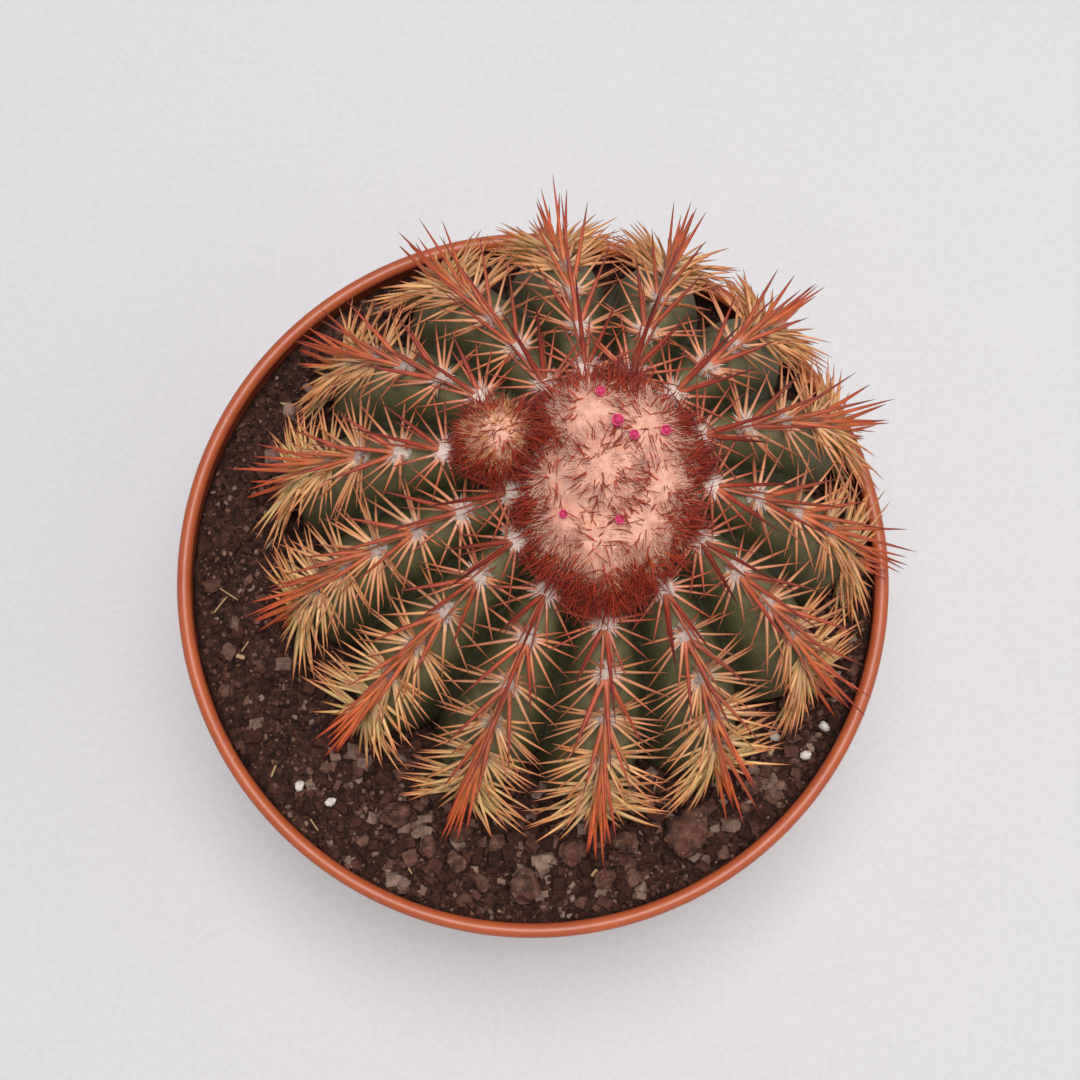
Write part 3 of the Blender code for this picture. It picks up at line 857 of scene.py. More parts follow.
@dataclass
class WoolDome:
    """A woolly crown: lobes of felt with fibres and bristles.

    Attributes:
        name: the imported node.
        slot: its material slot.
        stem: what it sits on.
        centre: its middle in the plan.
        half_width: its reach across.
        half_length: its reach along.
        height: of the dome under the lobes.
        lobes: its cushions of wool.
        bristles: how many there are.
        fibres: how many there are.
        bristle_length: the shortest and the longest.
        bristly: share of the bristles kept on the open wool.
        notch: depth of the dent towards the side head.
        notch_bearing: where that dent is.
        waves: size, count and turn of each wave of the outline.
        seed: of its draws.
        columns: points round the felt.
        rows: rings of points on its upper side.
        fibre_length: the shortest and the longest.
        fibre_thick: the thinnest and the thickest.
        bristle_thick: the thinnest and the thickest.
        tuft_spread: how far a tuft's roots lie from its middle.
    """

    name: str
    slot: str
    stem: StemShape
    centre: tuple[float, float]
    half_width: float
    half_length: float
    height: float
    lobes: tuple[Lobe, ...]
    bristles: int
    fibres: int
    bristle_length: tuple[float, float]
    bristly: float = 0.13
    notch: float = 0.0
    notch_bearing: float = math.radians(157)
    waves: tuple[tuple[float, int, float], ...] = ()
    seed: int = 5
    columns: int = 144
    rows: int = 46
    fibre_length: tuple[float, float] = (0.0014, 0.0032)
    fibre_thick: tuple[float, float] = (0.00014, 0.00025)
    bristle_thick: tuple[float, float] = (0.00024, 0.00040)
    tuft_spread: float = 0.0012

    def reach(self, bearing: float) -> float:
        """The outline's distance from the centre.

        Args:
            bearing: direction from the centre.

        Returns:
            The distance.
        """
        oval = 1 / math.hypot(math.cos(bearing) / self.half_width, math.sin(bearing) / self.half_length)
        lobing = 1 + sum(size * math.sin(count * bearing + turn) for size, count, turn in self.waves)
        apart = math.remainder(bearing - self.notch_bearing, TURN)
        return oval * lobing * (1 - self.notch * math.exp(-((apart / 0.42) ** 2)))

    def share(self, x: float, y: float) -> float:
        """0 at the centre and 1 on the outline."""
        spot = (x - self.centre[0], y - self.centre[1])
        return math.hypot(*spot) / self.reach(math.atan2(spot[1], spot[0]))

    def bulge(self, x: float, y: float) -> tuple[float, float, Lobe]:
        """What the lobes do above a point.

        Args:
            x: place across.
            y: place along.

        Returns:
            Their rise there, the groove's depth from 0 to 1, and the nearest lobe.
        """
        total, nearest, best = 0.0, self.lobes[0], 1e9
        for lobe in self.lobes:
            away = math.hypot(x - self.centre[0] - lobe.x, y - self.centre[1] - lobe.y) / lobe.radius
            total += (lobe.rise * math.sqrt(max(0.0, 1 - min(1.0, away) ** 2))) ** 4
            if away < best:
                nearest, best = lobe, away
        return total**0.25, float(smooth_step(0.74, 1.06, best)), nearest

    def top(self, x: float, y: float) -> float:
        """Height of the felt.

        Args:
            x: place across.
            y: place along.

        Returns:
            The height above a point of the plan.
        """
        share = min(1.0, self.share(x, y))
        rise = self.height * math.sqrt(max(0.0, 1 - share**2.4))
        lift, _, _ = self.bulge(x, y)
        edge = float(1 - smooth_step(0.75, 1.0, share))
        spot, wool_depth = (x, y, 0.0), 0.0009
        rumpled = wool_depth * rumple(spot, 420, 3.0) + 0.0004 * rumple(spot, 1300, 7.0)
        return self.stem.seat(x, y) + wool_depth + rise + (lift + rumpled) * edge

    def felt(self, store: Gathered) -> None:
        """Adds the closed felt cushion.

        Args:
            store: what gathers the piece.
        """
        turns = np.arange(self.columns) * TURN / self.columns
        underside = (0.35, 0.8, 1.0)
        shares = [*underside, *np.linspace(0.99, 0.02, self.rows)]
        rings, groove_shade = [], []
        for level, share in enumerate(shares):
            ring = []
            for turn in turns:
                out = self.reach(turn) * share
                x, y = self.centre[0] + out * math.cos(turn), self.centre[1] + out * math.sin(turn)
                low = level < len(underside)
                ring.append((x, y, self.stem.seat(x, y) + 0.0002 if low else self.top(x, y)))
                # The groove value darkens the felt between the lobes and at its foot: painted shade.
                groove_shade.append(max(0.8 * self.bulge(x, y)[1], float(smooth_step(0.93, 1.0, share))))
            rings.append(ring)
        rings = np.array(rings)
        groove_shade = np.array([*groove_shade, 1.0, 0.0])
        faces = skin_faces(len(rings), len(turns))
        store.add(with_middles(rings), faces, 0, along=0.0, age=0.0, tone=0.5, groove=groove_shade)

    def spot(self, draw: random.Random) -> tuple[float, float, float]:
        """A drawn place on the crown.

        Args:
            draw: the source of chance.

        Returns:
            The place and its share of the way out.
        """
        turn, share = draw.uniform(0, TURN), math.sqrt(draw.random())
        out = self.reach(turn) * share
        return self.centre[0] + out * math.cos(turn), self.centre[1] + out * math.sin(turn), share

    def combed(self, x: float, y: float, lobe: Lobe, share: float) -> np.ndarray:
        """The flat direction in which wool and bristles lie: away from their lobe and from the middle.

        Args:
            x: place across.
            y: place along.
            lobe: the nearest lobe.
            share: how far out on the crown the place is.

        Returns:
            The direction.
        """
        from_lobe = np.array((x - self.centre[0] - lobe.x, y - self.centre[1] - lobe.y, 0.0))
        from_centre = np.array((x - self.centre[0], y - self.centre[1], 0.0))
        return unit(unit(from_lobe) + unit(from_centre) * (0.3 + 1.2 * float(smooth_step(0.75, 1.0, share))))

    def fibre_coat(self, store: Gathered, draw: random.Random) -> None:
        """Adds the matted wool fibres.

        Args:
            store: what gathers the piece.
            draw: the source of chance.
        """
        fibre = drawn_out(3, ((0.5, 0.75), (1.0, 0.15)))
        for _ in range(self.fibres):
            x, y, share = self.spot(draw)
            _, groove, lobe = self.bulge(x, y)
            swirl = 1.2 * rumple((x, y, 0.0), 260, 9.0)
            flat = self.combed(x, y, lobe, share)
            flat = unit(flat + swirl * quarter_turn(flat) + wobble(draw, 0.25))
            way = flat * draw.uniform(0.9, 2.4) + UP * 0.6
            bend = wobble(draw, 0.2, -0.25)
            root = np.array((x, y, self.top(x, y) - 0.0004))
            tone = 0.5 + 0.9 * rumple((x, y, 0.0), 330, 5.0) + draw.uniform(-0.3, 0.3)
            # Fibres in the grooves get an older, darker colour from the groove depth: painted shade.
            store.add_bent(
                fibre, root, way, bend, draw.uniform(*self.fibre_length), draw.uniform(*self.fibre_thick), 1,
                age=min(1.0, lobe.age + groove * 0.5), tone=min(1.0, max(0.0, tone)), groove=groove,
            )

    def bristle_tufts(self, store: Gathered, draw: random.Random) -> None:
        """Adds the bristles in tufts: sparse on the lobes, crowded in the grooves and at the foot.

        Args:
            store: what gathers the piece.
            draw: the source of chance.
        """
        bristle = drawn_out(4, ((0.25, 0.95), (0.5, 0.8), (0.75, 0.55), (1.0, 0.08)))
        made = 0
        while made < self.bristles:
            x, y, share = self.spot(draw)
            _, groove, lobe = self.bulge(x, y)
            tangle = float(smooth_step(-0.45, 0.55, rumple((x, y, 0.0), 190, 11.0)))
            edge = float(smooth_step(0.80, 0.98, share)) * (0.22 + 0.78 * tangle)
            if draw.random() > self.bristly + 0.60 * groove * (0.4 + 0.6 * tangle) + 0.75 * edge:
                continue
            crowded = max(groove, edge)
            flat = self.combed(x, y, lobe, share)
            if draw.random() < 0.45 * crowded:
                flat = unit(quarter_turn(flat) * draw.choice((-1, 1)) + flat * draw.uniform(-0.4, 0.8))
            lying = draw.uniform(0.5, 1.4) + 0.5 * edge
            for _ in range(draw.randint(3, 10) if crowded > 0.35 else draw.randint(1, 3)):
                made += 1
                px, py = x + draw.gauss(0, self.tuft_spread), y + draw.gauss(0, self.tuft_spread)
                if self.share(px, py) > 0.99:
                    px, py = x, y
                lean = unit(flat + wobble(draw, 0.28))
                way = lean * lying * draw.uniform(0.8, 1.3) + UP
                length = draw.uniform(*self.bristle_length) * (0.62 + 0.38 * crowded)
                bend = lean * draw.uniform(0.0, 0.25) + wobble(draw, 0.12, -0.22)
                root = np.array((px, py, self.top(px, py) - 0.0005))
                store.add_bent(
                    bristle, root, way, bend, length, draw.uniform(*self.bristle_thick), 2,
                    age=lobe.age, tone=draw.random(), groove=groove,
                )

    def build(self, looks: Looks) -> None:
        """Builds the crown and hands it over.

        Args:
            looks: the materials by name.
        """
        store = Gathered("along", "age", "tone", "groove")
        self.felt(store)
        draw = random.Random(self.seed)
        self.fibre_coat(store, draw)
        self.bristle_tufts(store, draw)
        piece = store.build(f"{self.name}_wool", [looks["felt"], looks["fibre"], looks["bristle"]])
        hand_over(piece, self.slot, self.name)


@dataclass
class PlasticPot:
    """The turned pot with its lip, stepped collar, foot ring and drain holes.

    Attributes:
        axis: its axis in the plan.
        height: of its rim.
        rim_radius: over the lip.
        base_radius: of the foot ring.
        wall: thickness of wall and floor.
        lip: diameter of the rolled lip.
        lip_overhang: how far the lip stands out from the collar.
        collar_height: from the step up to the rim.
        collar_step: how far the wall steps in under the collar.
        foot_width: of the ring that it stands on.
        floor_lift: room under the floor.
        steps: corners round the pot.
        drain_radius: of a drain hole.
        drain_count: number of drain holes.
        drain_inset: from the foot ring to the holes.
        middle_hole: radius of the hole in the middle of the floor.
    """

    axis: tuple[float, float]
    height: float
    rim_radius: float
    base_radius: float = 0.0640
    wall: float = 0.0016
    lip: float = 0.0036
    lip_overhang: float = 0.0007
    collar_height: float = 0.0240
    collar_step: float = 0.0014
    foot_width: float = 0.0032
    floor_lift: float = 0.0028
    steps: int = 176
    drain_radius: float = 0.0040
    drain_count: int = 8
    drain_inset: float = 0.0050
    middle_hole: float = 0.0060

    def outline(self) -> list[tuple[float, float]]:
        """The wall's closed section, as radius and height."""
        half, rim, top = self.lip / 2, self.rim_radius, self.height
        bead = [
            (rim - half + half * math.cos(turn), top - half + half * math.sin(turn))
            for turn in map(math.radians, range(190, -31, -20))
        ]
        collar, step = rim - self.lip_overhang, top - self.collar_height
        under, inner = top - 0.8 * self.lip, collar - self.wall
        base, floor = self.base_radius, self.floor_lift + self.wall
        outer = [
            (collar, under - 0.0003),
            (collar - 0.0004, (under + step) / 2),
            (collar - 0.0007, step + self.collar_step + 0.0008),
            (collar - 0.0008, step + self.collar_step),
            (collar - 0.0012, step + 0.0004),
            (collar - 0.0008 - self.collar_step, step),
            (collar - 0.0012 - self.collar_step, step - 0.0014),
            (base + 0.0007, 0.0050),
            (base, 0.0018),
            (base - 0.0003, 0.0006),
            (base - 0.0010, 0.0),
        ]
        under_floor = [
            (base - self.foot_width, 0.0),
            (base - self.foot_width - 0.0006, self.floor_lift),
            (self.middle_hole, self.floor_lift),
            (self.middle_hole, floor),
        ]
        inside = [
            (base - self.wall - 0.0024, floor),
            (base - self.wall - 0.0006, floor + 0.0006),
            (base - self.wall, floor + 0.0024),
            (inner - 0.0008 - self.collar_step, step),
            (inner - 0.0008, step + self.collar_step),
            (inner, under),
        ]
        return bead + outer + under_floor + inside

    def build(self, looks: Looks) -> None:
        """Spins the section, drills the floor and hands the pot over.

        Args:
            looks: the materials by name.
        """
        section = self.outline()
        mesh = bpy.data.meshes.new("moulded_pot")
        count = len(section)
        mesh.from_pydata([(r, 0, z) for r, z in section], [(i, (i + 1) % count) for i in range(count)], [])
        pot = bpy.data.objects.new("moulded_pot", mesh)
        bpy.context.scene.collection.objects.link(pot)
        pick(pot)
        turned = pot.modifiers.new("turned", "SCREW")
        turned.steps = turned.render_steps = self.steps
        turned.use_merge_vertices = True
        turned.merge_threshold = 0.00005
        bpy.ops.object.modifier_apply(modifier="turned")
        face_outwards(pot)
        circle = self.base_radius - self.foot_width - self.drain_inset - self.drain_radius
        drills = []
        for index in range(self.drain_count):
            turn = TURN * (index + 0.5) / self.drain_count
            spot = (circle * math.cos(turn), circle * math.sin(turn), self.floor_lift)
            deselect()
            size = {"radius": self.drain_radius, "depth": 0.02}
            bpy.ops.mesh.primitive_cylinder_add(vertices=32, location=spot, **size)
            drills.append(bpy.context.object)
        deselect()
        for drill in drills:
            drill.select_set(True)
        bpy.context.view_layer.objects.active = drills[0]
        bpy.ops.object.join()
        drill = bpy.context.object
        pick(pot)
        cut = pot.modifiers.new("drain_holes", "BOOLEAN")
        cut.operation = "DIFFERENCE"
        cut.object = drill
        bpy.ops.object.modifier_apply(modifier="drain_holes")
        bpy.data.objects.remove(drill, do_unlink=True)
        mesh = pot.data
        mesh.transform(Matrix.Translation((*self.axis, 0.0)))
        mesh.materials.clear()
        mesh.materials.append(looks["pot"])
        bpy.ops.object.shade_smooth_by_angle(angle=math.radians(34))
        hand_over(pot, "pot_plastic", "pot")


@dataclass
class SoilBed:
    """The bed of soil, with loose grains, seeds and straw on it.

    Attributes:
        stem: what stands in it.
        axis: the pot's axis.
        inner_radius: of the pot under its rim.
        floor: height of the bed's underside.
        floor_radius: of that underside.
        collar_clearance: how far the bed stays inside the wall below the collar.
        collar_level: height of the pot's inner step.
        columns: points round the bed.
        rows: rings of points on its top.
        fine: number of small crumbs.
        coarse: number of large grains drawn, of which the back and left keep a few.
        straws: number of straws and seeds.
        crumb_size: radius of the smallest and the largest crumb.
        grain_size: radius of the smallest grain and the most that is added to it.
        seed_size: length and thickness of a seed.
        straw_length: the shortest and the longest.
        straw_thick: the thinnest and the thickest.
        seed: of its draws.
    """

    stem: StemShape
    axis: tuple[float, float]
    inner_radius: float
    floor: float
    floor_radius: float = 0.0600
    collar_clearance: float = 0.0028
    collar_level: float = 0.1035
    columns: int = 224
    rows: int = 24
    fine: int = 6200
    coarse: int = 1560
    straws: int = 26
    crumb_size: tuple[float, float] = (0.0003, 0.00105)
    grain_size: tuple[float, float] = (0.0009, 0.0019)
    seed_size: tuple[float, float] = (0.0022, 0.0012)
    straw_length: tuple[float, float] = (0.003, 0.007)
    straw_thick: tuple[float, float] = (0.0003, 0.0006)
    seed: int = 21

    def bed(self, looks: Looks) -> None:
        """Builds the closed bed with the stem's hollow.

        Args:
            looks: the materials by name.
        """
        stem = self.stem
        turns = stem.first_rib + np.arange(self.columns) * TURN / self.columns
        heading = np.stack([np.cos(turns), np.sin(turns)], -1)
        rings = []
        for radius, height in (
            (self.floor_radius, self.floor),
            (self.floor_radius + 0.0022, self.floor + 0.003),
            (self.inner_radius - self.collar_clearance, self.collar_level),
        ):
            flat = np.array(self.axis) + heading * radius
            rings.append(np.concatenate([flat, np.full((len(turns), 1), height)], -1))
        wall = np.array(self.axis) + heading * self.inner_radius
        start = stem.soil_arc()
        buried = [start + (stem.root_arc - start) * share for share in (0.0, 0.16, 0.36, 0.6, 0.84, 1.0)]
        socket = [stem.point(turns, arc, 0.0003) for arc in buried]
        collar = socket[0][:, :2]
        for share in np.linspace(0.0, 0.985, self.rows):
            ring = []
            for outer, inner in zip(wall, collar):
                spot = outer + (inner - outer) * share
                here = np.array((*spot, 0.0))
                lumps = 0.0011 * rumple(here, 170, 1.0) + 0.0008 * rumple(here, 520, 4.0)
                ring.append((*spot, stem.soil_level - 0.0006 + lumps))
            rings.append(np.array(ring))
        socket[-1] = socket[-1] - np.array((0.0, 0.0, 0.0003))
        rings = np.array(rings + socket)
        store = Gathered("tint")
        store.add(with_middles(rings), skin_faces(len(rings), len(turns)), 0, tint=0.3)
        hand_over(store.build("soil_bed", [looks["peat"]]), "potting_soil", "soil")

    def free_spot(self, draw: random.Random, margin: float) -> np.ndarray:
        """A drawn place on the soil, clear of the stem and of the wall.

        Args:
            draw: the source of chance.
            margin: room kept to both.

        Returns:
            The place in the plan.
        """
        while True:
            turn, out = draw.uniform(0, TURN), math.sqrt(draw.random()) * (self.inner_radius - margin)
            spot = np.array(self.axis) + out * np.array((math.cos(turn), math.sin(turn)))
            away = spot - np.array(self.stem.foot)
            bearing = math.atan2(away[1], away[0])
            skin = self.stem.point(bearing, self.stem.soil_arc())[:2] - np.array(self.stem.foot)
            if np.linalg.norm(away) > np.linalg.norm(skin) + margin * 0.6:
                return spot

    def grains(self, looks: Looks) -> None:
        """Scatters the fine crumb and, towards the front and the right, the coarse grains.

        Args:
            looks: the materials by name.
        """
        draw = random.Random(self.seed)
        small = [crumb_template(1, 0.35, seed) for seed in range(6)]
        large = [chunk_template(0.34, seed) for seed in range(10)]
        fine, coarse = Gathered("tint"), Gathered("tint")
        for index in range(self.fine + self.coarse):
            big = index >= self.fine
            least, more = self.grain_size
            size = least + more * draw.random() ** 2 if big else draw.uniform(*self.crumb_size)
            spot = self.free_spot(draw, size + 0.0002)
            side = math.atan2(spot[1] - self.axis[1], spot[0] - self.axis[0])
            if big and not -2.4 < side < 0.4 and draw.random() > 0.22:
                continue
            shape = draw.choice(large if big else small)
            stretch = np.array((1.0, draw.uniform(0.6, 0.95), draw.uniform(0.5, 0.8)))
            axes = np.linalg.qr(np.array([[draw.gauss(0, 1) for _ in range(3)] for _ in range(3)]))[0]
            if np.linalg.det(axes) < 0:
                axes[:, 0] *= -1
            points = (shape.points * stretch) @ axes.T * size
            lift = self.stem.soil_level - 0.0007 + size * draw.uniform(0.1, 0.55 if big else 0.9)
            store = coarse if big else fine
            tint = min(1.0, draw.random() ** 1.7 + 0.15 * big)
            store.add(points + np.array((*spot, lift)), shape.faces, 0, tint=tint)
        for name, store in (("soil_fine_crumb", fine), ("soil_coarse_grains", coarse)):
            piece = store.build(name, [looks["crumb"]], smooth=False)
            hand_over(piece, "potting_soil")

    def litter(self, looks: Looks) -> None:
        """Lays a few straws and seeds on the soil.

        Args:
            looks: the materials by name.
        """
        draw = random.Random(self.seed + 1)
        straw = drawn_out(6, ((0.15, 1.1), (0.5, 1.0), (0.85, 1.15), (1.0, 0.4)))
        store = Gathered("along", "tint")
        for _ in range(self.straws):
            spot = self.free_spot(draw, 0.004)
            turn = draw.uniform(0, TURN)
            way = np.array((math.cos(turn), math.sin(turn), draw.uniform(-0.05, 0.15)))
            length, thick = self.seed_size
            if draw.random() >= 0.4:
                length, thick = draw.uniform(*self.straw_length), draw.uniform(*self.straw_thick)
            root = np.array((*spot, self.stem.soil_level + 0.0008))
            bend = np.array((0.05, -0.03, -0.02))
            store.add_bent(straw, root, way, bend, length, thick, 0, tint=draw.random())
        hand_over(store.build("soil_straw_and_seeds", [looks["straw"]]), "potting_soil")

    def build(self, looks: Looks) -> None:
        """Builds the bed and all that lies on it.

        Args:
            looks: the materials by name.
        """
        self.bed(looks)
        self.grains(looks)
        self.litter(looks)


@dataclass
class LooseLumps:
    """Lava stones and perlite grains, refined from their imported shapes."""

    nodes: dict[str, bpy.types.Object]

    def build(self, looks: Looks) -> None:
        """Refines each lump and hands it over.

        Args:
            looks: the materials by name.
        """
        for name in sorted(self.nodes):
            kind = next((k for k in ("lava_stone", "perlite") if name.startswith(k)), None)
            if kind is None:
                continue
            piece = bpy.data.objects.new(f"{name}_rough", self.nodes[name].data.copy())
            bpy.context.scene.collection.objects.link(piece)
            pick(piece)
            edit_all()
            bpy.ops.mesh.remove_doubles(threshold=0.00002)
            bpy.ops.mesh.subdivide(number_cuts=3, smoothness=0.6)
            deselect()
            size = max(piece.dimensions)
            for vert in piece.data.vertices:
                ridged = abs(rumple(vert.co, 3.0 / size)) - 0.2
                bump = 0.16 * ridged + 0.05 * rumple(vert.co, 8.0 / size, 2.0)
                vert.co = vert.co + vert.normal * bump * size
            piece.data.materials.clear()
            piece.data.materials.append(looks[kind])
            piece.data.shade_smooth()
            face_outwards(piece)
            hand_over(piece, kind, name)


@dataclass
class CactusStem:
    """The ribbed green stem with its buried root crown.

    Attributes:
        stem: its shape.
        areoles: for each rib, the arcs of its spine cushions, where the rib swells.
        columns: points from rib to rib.
        rows: rings of points from the tip to the root.
        swelling: how far the rib swells at a cushion.
    """

    stem: StemShape
    areoles: dict[int, list[float]]
    columns: int = 16
    rows: int = 120
    swelling: float = 0.0007

    def build(self, looks: Looks) -> None:
        """Builds the skin and hands it over.

        Args:
            looks: the materials by name.
        """
        stem = self.stem
        turns = stem.first_rib + np.arange(self.columns * stem.ribs) * TURN / (self.columns * stem.ribs)
        arcs = np.linspace(math.radians(3), stem.root_arc, self.rows)
        rings, values = [], []
        ridge = stem.furrow(turns)
        rib_of = (-np.round((turns - stem.first_rib) / (TURN / stem.ribs)).astype(int)) % stem.ribs
        for arc in arcs:
            swell = np.zeros(len(turns))
            for rib, places in self.areoles.items():
                phase = np.interp(arc, places, np.arange(len(places)), left=-0.5, right=len(places) - 0.5)
                swell[rib_of == rib] = self.swelling * math.cos(TURN * phase)
            out = swell * np.exp(-ridge / 0.22) * float(arc < stem.soil_arc() - 0.05)
            rings.append(stem.point(turns, float(arc), out))
            # The furrow value darkens the skin towards the bottoms of the furrows: painted shade.
            values.append(ridge * smooth_step(0.05, 0.5, math.sin(arc)))
        store = Gathered("furrow")
        furrow_shade = np.concatenate([np.array(values).ravel(), (0.0, 1.0)])
        store.add(with_middles(np.array(rings)), skin_faces(self.rows, len(turns)), 0, furrow=furrow_shade)
        hand_over(store.build("ribbed_stem", [looks["skin"]]), "stem_skin", "stem")


@dataclass(frozen=True)
class Cushion:
    """One spine cushion on a rib's edge.

    Attributes:
        place: its point, and the directions outwards, down the rib and round the stem.
        age: 0 beside the crown and 1 at the soil.
        store: what gathers the rib.
        shapes: the templates by name.
        clear: shortens a spine, from its root, direction and length, until it clears soil and pot.
        draw: the source of chance.
        outer: for each outer spine of a side, degrees from straight up the rib and its length.
        hairs: tufts of wool round the pad.
        middle: sideways turn of each middle spine.
        lift: height of the spines' roots above the skin.
        pad: half the pad's width, its length and its height.
        hair_length: the shortest and the longest.
        hair_thick: the thinnest and the thickest.
        outer_thick: the thinnest and the thickest.
        trailing: the shortest and the longest spine that trails down the rib.
        middle_length: the shortest and the longest.
        middle_thick: the thinnest and the thickest.
    """

    place: tuple[np.ndarray, ...]
    age: float
    store: Gathered
    shapes: dict[str, Template]
    clear: Callable[[np.ndarray, np.ndarray, float], float]
    draw: random.Random
    outer: tuple[tuple[float, float], ...] = (
        (22, 0.0080), (44, 0.0115), (66, 0.0145), (88, 0.0160), (110, 0.0168), (132, 0.0165), (154, 0.0155),
    )
    hairs: int = 42
    middle: tuple[float, ...] = (0.0, -1.0, 1.0)
    lift: float = 0.0006
    pad: tuple[float, float, float] = (0.0021, 0.0024, 0.0013)
    hair_length: tuple[float, float] = (0.0016, 0.0031)
    hair_thick: tuple[float, float] = (0.00026, 0.00050)
    outer_thick: tuple[float, float] = (0.00078, 0.00105)
    trailing: tuple[float, float] = (0.0125, 0.0165)
    middle_length: tuple[float, float] = (0.0185, 0.0235)
    middle_thick: tuple[float, float] = (0.0010, 0.0014)

    def wool(self) -> None:
        """Adds the pad with a star of wool round it."""
        point, outward, down, around = self.place
        draw, age = self.draw, self.age
        axes = np.stack([around, down, outward], -1)
        pad = self.shapes["pad"].points * np.array(self.pad) * (1.25 - 0.42 * age)
        seat = point + outward * self.lift + pad @ axes.T
        self.store.add(seat, self.shapes["pad"].faces, 2, along=0.35, age=age, tone=draw.random())
        for index in range(self.hairs):
            turn = TURN * index / self.hairs + draw.uniform(-0.1, 0.1)
            flat = math.cos(turn) * down + math.sin(turn) * around
            root = point + outward * draw.uniform(0.0009, 0.0018) + flat * draw.uniform(0.0004, 0.0017)
            length = draw.uniform(*self.hair_length) * (1.25 - 0.65 * age)
            way = flat + outward * draw.uniform(0.15, 0.9)
            self.store.add_bent(
                self.shapes["fibre"], root, way, -outward * 0.2, length, draw.uniform(*self.hair_thick), 2,
                age=age, tone=draw.random(),
            )

    def spine(self, way: np.ndarray, flat: np.ndarray, length: float, thick: float, slot: int = 0) -> None:
        """Adds one curved spine.

        Args:
            way: its direction.
            flat: its direction along the skin.
            length: the length wanted.
            thick: its diameter.
            slot: 0 for an outer and 1 for a middle spine.
        """
        point, outward = self.place[:2]
        root = point + outward * self.lift + flat * self.lift
        curl = self.draw.uniform(0.02, 0.12)
        bend = -outward * curl if slot == 0 else flat * self.draw.uniform(0.0, 0.10)
        length = self.clear(root, unit(way) + bend, length)
        if length > 0.003:
            tone = self.draw.random()
            shape = self.shapes["spine"]
            self.store.add_bent(shape, root, way, bend, length, thick, slot, age=self.age, tone=tone)

    def outer_spines(self) -> None:
        """Adds the fan on both sides, in two layers when old, and the spines that trail down the rib."""
        _, outward, down, around = self.place
        draw, age = self.draw, self.age
        for side in (-1, 1):
            for turn, long in self.outer:
                if turn == self.outer[0][0] and draw.random() < 0.4:
                    continue
                angle = math.radians(turn + draw.uniform(-8, 8)) * side
                flat = -math.cos(angle) * down + math.sin(angle) * around
                rise = math.radians(draw.uniform(14, 34) + (12 if turn < 60 else 0))
                way = flat * math.cos(rise) + outward * math.sin(rise)
                length = long * draw.uniform(0.85, 1.10) * (0.88 + 0.20 * age)
                thick = draw.uniform(*self.outer_thick) * (0.85 + 0.30 * age)
                self.spine(way, flat, length, thick)
                if age > 0.36 and turn > 60:
                    way = flat * math.cos(rise * 0.5) + outward * math.sin(rise * 0.5)
                    way = way + around * side * draw.uniform(-0.12, 0.12)
                    self.spine(way, flat, length, thick)
        for _ in range(2 + (age > 0.3) + (age > 0.6)):
            angle = math.radians(draw.uniform(-11, 11))
            flat = math.cos(angle) * down + math.sin(angle) * around
            rise = math.radians(draw.uniform(10, 30))
            way = flat * math.cos(rise) + outward * math.sin(rise)
            self.spine(way, flat, draw.uniform(*self.trailing), 0.0009)

    def middle_spines(self) -> None:
        """Adds the middle spines, spread when young and laid together down the rib when old."""
        _, outward, down, around = self.place
        draw, age = self.draw, self.age
        spread = 0.40 - 0.28 * float(smooth_step(0.2, 0.7, age))
        for aside in self.middle[: 2 if age < 0.15 else 3]:
            aside_way = around * (aside * spread + draw.uniform(-0.07, 0.07))
            way = outward * draw.uniform(0.48, 0.76) + down * (0.80 - 0.25 * (1 - age)) + aside_way
            length = draw.uniform(*self.middle_length) * (0.88 if aside else 1.0)
            self.spine(way, down, length, draw.uniform(*self.middle_thick), 1)


